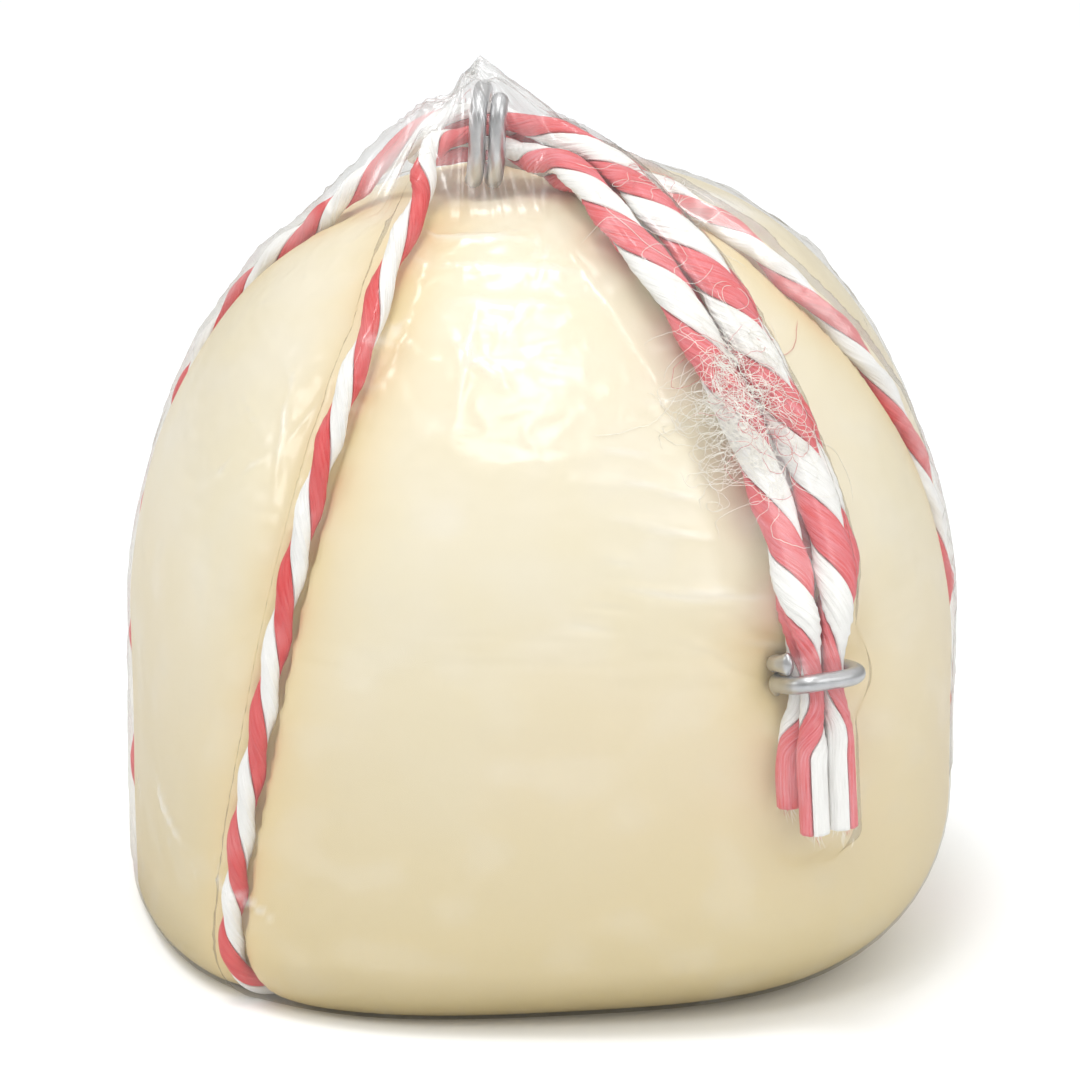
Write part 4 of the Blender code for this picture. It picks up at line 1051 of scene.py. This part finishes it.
haze = film_milk_and_highlight(film_points)
base_rows = np.linspace(0.05, 0.97, 10)[:, None, None] * film_points[0][None]
base_rows[..., 2] = LOWEST_FILM
film_grid = np.concatenate([base_rows, film_points])
film_haze_and_highlight = np.concatenate([np.full(base_rows.shape[:2], CLEAR_HAZE), haze])
top_point = peak + (PEAK_LEAN, 0, 0.3 * MM)
film = closed_skin("film_wrap", film_grid, (0, 0, LOWEST_FILM), top_point, {"haze": film_haze_and_highlight})
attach(film, "root")
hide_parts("film")
print("film", len(film.data.polygons), "faces")

# %% [markdown]
# ## Loose fibres
# Handling frays the slack tail. Filaments spill from it in loops and are caught under the film, some stick
# out at the cut ends, and a few lie by the upper clip. Each is a thin tube along a wandering line, which is
# drawn in azimuth and travel and then laid just under the film.

# %% Places under the film
FIBRE_RADIUS = 0.035 * MM
FIBRE_STEP = 0.45 * MM
# Where fibres start (azimuths, travels), how many are white and red, length in millimetres, how they curl
FIBRE_AREAS = {
    "tail_patch": ((27.5, 37), (2.40, 2.55), (150, 22), (5, 18), 0.33),
    "patch_spill": ((25, 31), (2.36, 2.52), (60, 0), (4, 12), 0.42),
    "upper_patch": ((42, 62), (2.74, 2.83), (40, 26), (4, 10), 0.4),
    "long_hairs": ((30, 42), (2.35, 2.70), (12, 1), (10, 22), 0.10),
    "by_the_clip": ((-160, -120), (2.88, 2.95), (4, 12), (2, 5), 0.6),
}
UNDER_FILM = 0.12 * MM
FIBRE_SEED = 5


def under_film(azimuth, travel):
    """The place just under the film at an azimuth and a travel, between the points of the film's grid."""
    turned = np.where(azimuth < FRONT_AZIMUTHS[0], azimuth + 360, azimuth)
    round_once = np.append(film_azimuths, film_azimuths[0] + 360)
    column = np.interp(turned, round_once, np.arange(len(round_once)))
    row = np.interp(travel, FILM_TRAVELS, np.arange(len(FILM_TRAVELS)))
    left, low = np.floor(column).astype(int), np.minimum(np.floor(row).astype(int), len(FILM_TRAVELS) - 2)
    right = (left + 1) % len(film_azimuths)
    left = left % len(film_azimuths)
    across, up = column % 1, row - low
    shell = film_skin + film_normal * (tent - UNDER_FILM)[..., None]
    return sum(shell[r, c] * (a * b)[:, None] for r, a in ((low, 1 - up), (low + 1, up))
               for c, b in ((left, 1 - across), (right, across)))

# %% Lines of the fibres
CUT_END_SPREAD = 0.7 * MM
CUT_END_ROOT = 0.8 * MM
CUT_END_POINTS = 6


def wandering_line(chance, azimuths, travels, lengths, curl):
    count = int(chance.uniform(*lengths) * MM / FIBRE_STEP)
    azimuth, travel = chance.uniform(*azimuths), chance.uniform(*travels)
    here = skin_point(azimuth, travel)
    per_degree = max(np.linalg.norm(skin_point(azimuth + 1, travel) - here), 0.05 * MM)
    per_travel = np.linalg.norm(skin_point(azimuth, travel + 0.01) - here) / 0.01
    bend = chance.normal(0, curl)
    heading = chance.uniform(0, math.tau) + np.cumsum(bend + chance.normal(0, curl, count))
    side = np.cumsum(np.cos(heading)) * FIBRE_STEP / per_degree
    rise = np.cumsum(np.sin(heading)) * FIBRE_STEP / per_travel
    return under_film(azimuth + side, np.clip(travel + rise, 0.5, 2.97))


def cut_end_lines(chance, line, count):
    """Filaments that stick out of a strand's cut end, at the start of a line."""
    tip = line[0]
    heading = unit(tip - line[6])
    lines = []
    for _ in range(count):
        start = tip + chance.normal(0, CUT_END_SPREAD, 3) - heading * CUT_END_ROOT
        bend = unit(heading + chance.normal(0, 0.22, 3)) - heading
        steps = np.arange(CUT_END_POINTS)[:, None] * chance.uniform(0.25, 0.55) * MM
        lines.append(start + steps * (heading + bend * np.linspace(0, 1, CUT_END_POINTS)[:, None]))
    return lines

# %% The fibres
CUT_END_FIBRES = {"white": 14, "red": 8}


def fibre_bundle(name, lines):
    """All fibres of one colour as one mesh of thin four-sided tubes."""
    points, faces, first = [], [], 0
    angle = np.arange(4) * math.tau / 4
    for line in lines:
        heading = unit(np.gradient(line, axis=0))
        side = unit(np.cross(heading, (0.31, 0.52, 0.8)))
        up = np.cross(heading, side)
        step = np.arange(len(line))
        thin = FIBRE_RADIUS * np.clip(np.minimum(step, step[::-1]) + 1, 1, 3) / 3
        ring = np.cos(angle)[None, :, None] * side[:, None] + np.sin(angle)[None, :, None] * up[:, None]
        ring_points, ring_quads = tube_parts(line[:, None] + ring * thin[:, None, None], first)
        points.append(ring_points)
        faces += ring_quads
        first += len(ring_points)
    return put_mesh(name, np.concatenate(points), faces)


chance = np.random.default_rng(FIBRE_SEED)
fibre_lines = {"white": [], "red": []}
for azimuths, travels, counts, lengths, curl in FIBRE_AREAS.values():
    for colour, count in zip(fibre_lines, counts):
        fibre_lines[colour] += [wandering_line(chance, azimuths, travels, lengths, curl) for _ in range(count)]
for route in routes.values():
    for line in (route["line"], route["line"][::-1]):
        for colour, count in CUT_END_FIBRES.items():
            fibre_lines[colour] += cut_end_lines(chance, line, count)
fibres = {colour: fibre_bundle("loose_fibres_" + colour, lines) for colour, lines in fibre_lines.items()}
for colour, bundle in fibres.items():
    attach(bundle, "root")
    print(colour, "fibres:", len(fibre_lines[colour]), "with", len(bundle.data.polygons), "faces")

# %% [markdown]
# ## Node helper
# Materials are built from nodes by one short helper, which makes a node, sets its properties and either
# links or sets each named input. The others are short names for the nodes that most finishes need.

# %% Helper for nodes


def add_node(tree, kind, inputs=None, **settings):
    made = tree.nodes.new(kind)
    for name, value in settings.items():
        setattr(made, name, value)
    for name, value in (inputs or {}).items():
        if isinstance(value, bpy.types.NodeSocket):
            tree.links.new(value, made.inputs[name])
        else:
            made.inputs[name].default_value = value
    return made


def new_material(name):
    made = bpy.data.materials.new(name)
    made.use_nodes = True
    made.node_tree.nodes.clear()
    return made, made.node_tree


def finish_material(tree, shader):
    output = add_node(tree, "ShaderNodeOutputMaterial")
    tree.links.new(shader, output.inputs["Surface"])


def wear(piece, material):
    piece.data.materials.clear()
    piece.data.materials.append(material)
    print(piece.name, "wears", material.name)


def mix_colour(tree, factor, first, second):
    made = tree.nodes.new("ShaderNodeMix")
    made.data_type = "RGBA"
    for socket, value in ((made.inputs[0], factor), (made.inputs[6], first), (made.inputs[7], second)):
        if isinstance(value, bpy.types.NodeSocket):
            tree.links.new(value, socket)
        else:
            socket.default_value = value
    return made.outputs[2]


def math_node(tree, operation, first, second=None, third=None, clamp=False):
    inputs = {index: value for index, value in enumerate((first, second, third)) if value is not None}
    return add_node(tree, "ShaderNodeMath", inputs, operation=operation, use_clamp=clamp).outputs[0]


def map_range(tree, value, low, high, to_low=0.0, to_high=1.0):
    return add_node(tree, "ShaderNodeMapRange", {"Value": value, "From Min": low, "From Max": high,
                                                 "To Min": to_low, "To Max": to_high}).outputs[0]


def noise_node(tree, place, scale, detail=3.0, roughness=0.5):
    return add_node(tree, "ShaderNodeTexNoise", {"Vector": place, "Scale": scale, "Detail": detail,
                                                 "Roughness": roughness}).outputs[0]


def attribute(tree, name):
    return add_node(tree, "ShaderNodeAttribute", attribute_name=name).outputs["Fac"]

# %% [markdown]
# ## Finish of the cheese
# Stretched curd is ivory to cream, with broad pinkish and yellowish clouds. Beside the twine and the lower clip
# it is painted darker and yellower, as painted shade in the grooves they press, and towards the base it is
# painted darker, as painted shade on the lower wall. Two noises give the clouds, and two masks that the mesh
# carries, the nearness of the twine and the height, give the painted shade; the height also keeps the pink
# clouds low. Subsurface scattering would soften the shadows a little more, but under film the difference
# hardly shows, and it makes every render slower.

# %% The cheese's material
IVORY = (0.82, 0.748, 0.585, 1)
BLUSH = (0.82, 0.68, 0.47, 1)
BUTTER = (0.80, 0.70, 0.455, 1)
# Colours of painted shade: beside the twine, low on the wall and at the base
TWINE_GROOVE_SHADE = (0.78, 0.60, 0.29, 1)
LOW_WALL_SHADE = (0.66, 0.54, 0.30, 1)
BASE_SHADE = (0.47, 0.36, 0.15, 1)


def cheese_finish():
    made, tree = new_material("cream_cheese")
    place = add_node(tree, "ShaderNodeTexCoord").outputs["Object"]
    clouds = map_range(tree, noise_node(tree, place, 17.0, 2.0), 0.38, 0.62)
    mottle = map_range(tree, noise_node(tree, place, 75.0, 2.0), 0.35, 0.65, 0.0, 0.35)
    height = attribute(tree, "height")
    low = map_range(tree, height, 0.066, 0.03)
    cream = mix_colour(tree, math_node(tree, "MULTIPLY", clouds, low), IVORY, BLUSH)
    cream = mix_colour(tree, mottle, cream, BUTTER)
    # Painted shade: darker towards the base, darkest in the last centimetre
    cream = mix_colour(tree, map_range(tree, height, 0.066, 0.012), cream, LOW_WALL_SHADE)
    cream = mix_colour(tree, map_range(tree, height, 0.010, 0.001), cream, BASE_SHADE)
    # Painted shade beside the twine and the lower clip, darker and yellower in the grooves they press
    near = math_node(tree, "MULTIPLY", attribute(tree, "near_twine"), 0.80)
    colour = mix_colour(tree, near, cream, TWINE_GROOVE_SHADE)
    grain = noise_node(tree, place, 320.0, 1.0)
    bump = add_node(tree, "ShaderNodeBump", {"Height": grain, "Strength": 0.12, "Distance": 0.0003})
    shader = add_node(tree, "ShaderNodeBsdfPrincipled", {
        "Base Color": colour, "Roughness": 0.5, "Normal": bump.outputs[0]})
    finish_material(tree, shader.outputs[0])
    return made


wear(cheese, cheese_finish())

# %% [markdown]
# ## Finish of the yarn
# Filament yarn shows long fine streaks along each ply. The group below draws them on the yarn's own map,
# where one axis goes round the ply and the other along it, for the red and the white ply alike.

# %% Group for yarn streaks
def yarn_streaks_group():
    group = bpy.data.node_groups.new("yarn_streaks", "ShaderNodeTree")
    group.interface.new_socket(name="Round", in_out="INPUT", socket_type="NodeSocketFloat")
    group.interface.new_socket(name="Along", in_out="INPUT", socket_type="NodeSocketFloat")
    group.interface.new_socket(name="Streaks", in_out="OUTPUT", socket_type="NodeSocketFloat")
    group.interface.new_socket(name="Lift", in_out="OUTPUT", socket_type="NodeSocketFloat")
    given = group.nodes.new("NodeGroupInput")
    place = add_node(group, "ShaderNodeUVMap", uv_map="yarn").outputs[0]
    stretch = add_node(group, "ShaderNodeCombineXYZ", {"X": given.outputs["Round"], "Y": given.outputs["Along"]})
    scaled = add_node(group, "ShaderNodeVectorMath", {0: place, 1: stretch.outputs[0]}, operation="MULTIPLY")
    fine = add_node(group, "ShaderNodeTexNoise", {"Vector": scaled.outputs[0], "Scale": 1.0, "Detail": 3.0})
    result = group.nodes.new("NodeGroupOutput")
    steep = add_node(group, "ShaderNodeMapRange", {"Value": fine.outputs[0], "From Min": 0.35, "From Max": 0.65})
    group.links.new(steep.outputs[0], result.inputs["Streaks"])
    group.links.new(fine.outputs[0], result.inputs["Lift"])
    return group


yarn_streaks = yarn_streaks_group()

# %% The two yarns


def yarn_finish(name, plain, streak, in_tail):
    """One colour of yarn: plain and streaked on the strands, and in the slack tail a paler colour, painted sheen
    of the film lying over it.
    """
    made, tree = new_material(name)
    streaks = tree.nodes.new("ShaderNodeGroup")
    streaks.node_tree = yarn_streaks
    streaks.inputs["Round"].default_value = 34.0
    streaks.inputs["Along"].default_value = 2.2
    base = mix_colour(tree, attribute(tree, "in_tail"), plain, in_tail)
    colour = mix_colour(tree, streaks.outputs["Streaks"], base, streak)
    bump = add_node(tree, "ShaderNodeBump", {"Height": streaks.outputs["Lift"], "Strength": 0.8,
                                             "Distance": 0.00025})
    shader = add_node(tree, "ShaderNodeBsdfPrincipled", {
        "Base Color": colour, "Roughness": 0.55, "Normal": bump.outputs[0]})
    finish_material(tree, shader.outputs[0])
    return made


# The third colour of each yarn is its colour in the slack tail, where the red one is painted paler as sheen of
# the film over it
yarn_finishes = {
    "red": yarn_finish("red_yarn", (0.66, 0.014, 0.018, 1), (0.74, 0.09, 0.09, 1), (0.78, 0.22, 0.255, 1)),
    "white": yarn_finish("white_yarn", (0.93, 0.92, 0.90, 1), (0.86, 0.845, 0.82, 1), (0.93, 0.92, 0.90, 1)),
}
for (length, colour), ply in plies.items():
    wear(ply, yarn_finishes[colour])

# %% Finish of the fibres


def fibre_finish(name, thin, thick):
    """A filament is paler than the yarn. Its colour drifts a little from place to place."""
    made, tree = new_material(name)
    place = add_node(tree, "ShaderNodeTexCoord").outputs["Object"]
    colour = mix_colour(tree, noise_node(tree, place, 400.0), thin, thick)
    shader = add_node(tree, "ShaderNodeBsdfPrincipled", {"Base Color": colour, "Roughness": 0.45})
    finish_material(tree, shader.outputs[0])
    return made


wear(fibres["white"], fibre_finish("white_fibre", (0.95, 0.93, 0.87, 1), (0.88, 0.84, 0.76, 1)))
wear(fibres["red"], fibre_finish("red_fibre", (0.75, 0.22, 0.22, 1), (0.60, 0.07, 0.09, 1)))

# %% [markdown]
# ## Finish of the clips
# Drawn aluminium wire is dull, with small dents from the tool, which one fine noise gives as bumps, roughness and
# a grey that drifts. The fine lines that the die leaves are not drawn.

# %% The clips' material


def clip_finish():
    made, tree = new_material("drawn_aluminium")
    place = add_node(tree, "ShaderNodeTexCoord").outputs["Object"]
    dents = add_node(tree, "ShaderNodeTexNoise", {"Vector": place, "Scale": 700.0, "Detail": 4.0})
    rough = add_node(tree, "ShaderNodeMapRange", {"Value": dents.outputs[0], "To Min": 0.22, "To Max": 0.45})
    bump = add_node(tree, "ShaderNodeBump", {"Height": dents.outputs[0], "Strength": 0.4, "Distance": 0.0002})
    colour = mix_colour(tree, dents.outputs[0], (0.42, 0.43, 0.45, 1), (0.68, 0.68, 0.69, 1))
    shader = add_node(tree, "ShaderNodeBsdfPrincipled", {
        "Base Color": colour, "Metallic": 1.0, "Roughness": rough.outputs[0], "Normal": bump.outputs[0]})
    finish_material(tree, shader.outputs[0])
    return made


aluminium = clip_finish()
for clip in clips:
    wear(clip, aluminium)

# %% [markdown]
# ## Finish of the film
# Clear film is mostly see-through, mirrors the lights at every fold, and turns milky where it is doubled.
# A transparent shader is mixed with a shiny one, of which there is more at grazing angles, as on all clear
# plastic. Where the film is milky the shiny one is white, and elsewhere it is black, so that only its
# gloss shows; the same white makes the painted highlight across the upper clip. The see-through colour
# darkens at grazing angles, partly as the film's own greyness seen edge-on and partly as painted shade on
# the cheese's edges behind it. Shadow rays pass through, as light does through thin film.

# %% The film's material
FILM_TINT = (0.965, 0.965, 0.955, 1)
# At grazing angles: the film's own greyness edge-on, and painted shade on the cheese's edges behind it
FILM_EDGE_TINT_AND_SHADE = (0.92, 0.90, 0.87, 1)
# White of milky film, and of the painted highlight across the upper clip
FILM_MILK_AND_HIGHLIGHT = (0.90, 0.90, 0.89, 1)


def film_finish():
    made, tree = new_material("clear_shrink_film")
    place = add_node(tree, "ShaderNodeTexCoord").outputs["Object"]
    haze = attribute(tree, "haze")
    stretched = add_node(tree, "ShaderNodeMapping", {"Vector": place, "Scale": (60.0, 60.0, 420.0)}).outputs[0]
    level_wrinkles = noise_node(tree, stretched, 1.0, 1.0)
    wrinkles = math_node(tree, "MULTIPLY_ADD", level_wrinkles, 0.6, noise_node(tree, place, 150.0, 1.5))
    bump = add_node(tree, "ShaderNodeBump", {"Height": wrinkles, "Strength": 0.45, "Distance": 0.0005})
    facing = add_node(tree, "ShaderNodeLayerWeight", {"Blend": 0.5}).outputs["Facing"]
    grazing = math_node(tree, "POWER", facing, 7.0)
    mirror = math_node(tree, "MULTIPLY_ADD", grazing, 0.1, 0.16)
    cover = math_node(tree, "ADD", mirror, haze)
    # The white share: milky film, and the painted highlight across the upper clip
    milk_and_highlight = math_node(tree, "DIVIDE", haze, cover, clamp=True)
    path = add_node(tree, "ShaderNodeLightPath")
    unseen = math_node(tree, "MAXIMUM", path.outputs["Is Shadow Ray"], path.outputs["Is Diffuse Ray"])
    seen = math_node(tree, "SUBTRACT", 1.0, unseen)
    share = math_node(tree, "MULTIPLY", cover, seen, clamp=True)
    # Partly painted shade: the see-through colour darkens at grazing angles, partly as the film's own greyness
    # edge-on and partly as shade on the cheese's edges behind it
    slanted = math_node(tree, "POWER", facing, 3.5)
    edge_tint_and_shade = mix_colour(tree, slanted, FILM_TINT, FILM_EDGE_TINT_AND_SHADE)
    clear = add_node(tree, "ShaderNodeBsdfTransparent", {"Color": edge_tint_and_shade})
    shiny = add_node(tree, "ShaderNodeBsdfPrincipled", {
        "Base Color": mix_colour(tree, milk_and_highlight, (0.0, 0.0, 0.0, 1), FILM_MILK_AND_HIGHLIGHT), "Roughness": 0.25, "IOR": 3.0,
        "Normal": bump.outputs[0]})
    mixed = add_node(tree, "ShaderNodeMixShader", {0: share, 1: clear.outputs[0], 2: shiny.outputs[0]})
    finish_material(tree, mixed.outputs[0])
    return made


wear(film, film_finish())

# %% [markdown]
# ## Studio
# A packshot on white: a large pale floor, a white surround that is brighter overhead, and four softboxes.
# The one above and the one in front show as the crinkled highlight on the dome, and the two at the sides
# keep the wall light and show where the film turns away.

# %% Floor and lights
FLOOR_HALF = 4.0
HORIZON_LIGHT = 0.33
ZENITH_LIGHT = 1.28
FLOOR_COLOUR = (0.93, 0.95, 0.97, 1)


def add_floor():
    corners = np.array([(-1, -1, 0), (1, -1, 0), (1, 1, 0), (-1, 1, 0)]) * FLOOR_HALF
    floor = put_mesh("floor", corners, [[0, 1, 2, 3]])
    made, tree = new_material("pale_floor")
    shader = add_node(tree, "ShaderNodeBsdfPrincipled", {"Base Color": FLOOR_COLOUR, "Roughness": 0.9})
    finish_material(tree, shader.outputs[0])
    wear(floor, made)


def add_softbox(name, place, width, height, watts):
    lamp = bpy.data.lights.new(name, "AREA")
    lamp.shape = "RECTANGLE"
    lamp.size = width
    lamp.size_y = height
    lamp.energy = watts
    made = bpy.data.objects.new(name, lamp)
    made.location = place
    made.rotation_euler = (VIEW_TARGET - Vector(place)).to_track_quat("-Z", "Y").to_euler()
    bpy.context.scene.collection.objects.link(made)
    print(name, "gives", watts, "W")


def add_surround():
    """A white surround that is brighter overhead than at the horizon."""
    world = bpy.data.worlds.new("studio")
    bpy.context.scene.world = world
    world.use_nodes = True
    tree = world.node_tree
    tree.nodes.clear()
    direction = add_node(tree, "ShaderNodeTexCoord").outputs["Generated"]
    upward = add_node(tree, "ShaderNodeSeparateXYZ", {0: direction}).outputs["Z"]
    strength = map_range(tree, upward, 0.0, 1.0, HORIZON_LIGHT, ZENITH_LIGHT)
    shine = add_node(tree, "ShaderNodeBackground", {"Color": (1, 1, 1, 1), "Strength": strength})
    output = add_node(tree, "ShaderNodeOutputWorld")
    tree.links.new(shine.outputs[0], output.inputs["Surface"])


add_floor()
add_softbox("top_softbox", (-0.13, -0.20, 0.95), 0.34, 0.30, 2.8)
add_softbox("front_softbox", (-0.10, -0.64, 0.77), 0.26, 0.22, 1.2)
add_softbox("left_softbox", (-0.87, -0.10, 0.44), 0.22, 0.28, 1.0)
add_softbox("right_softbox", (0.72, -0.70, 0.55), 0.60, 0.60, 2.6)
add_surround()
bpy.context.scene.view_settings.view_transform = "Standard"
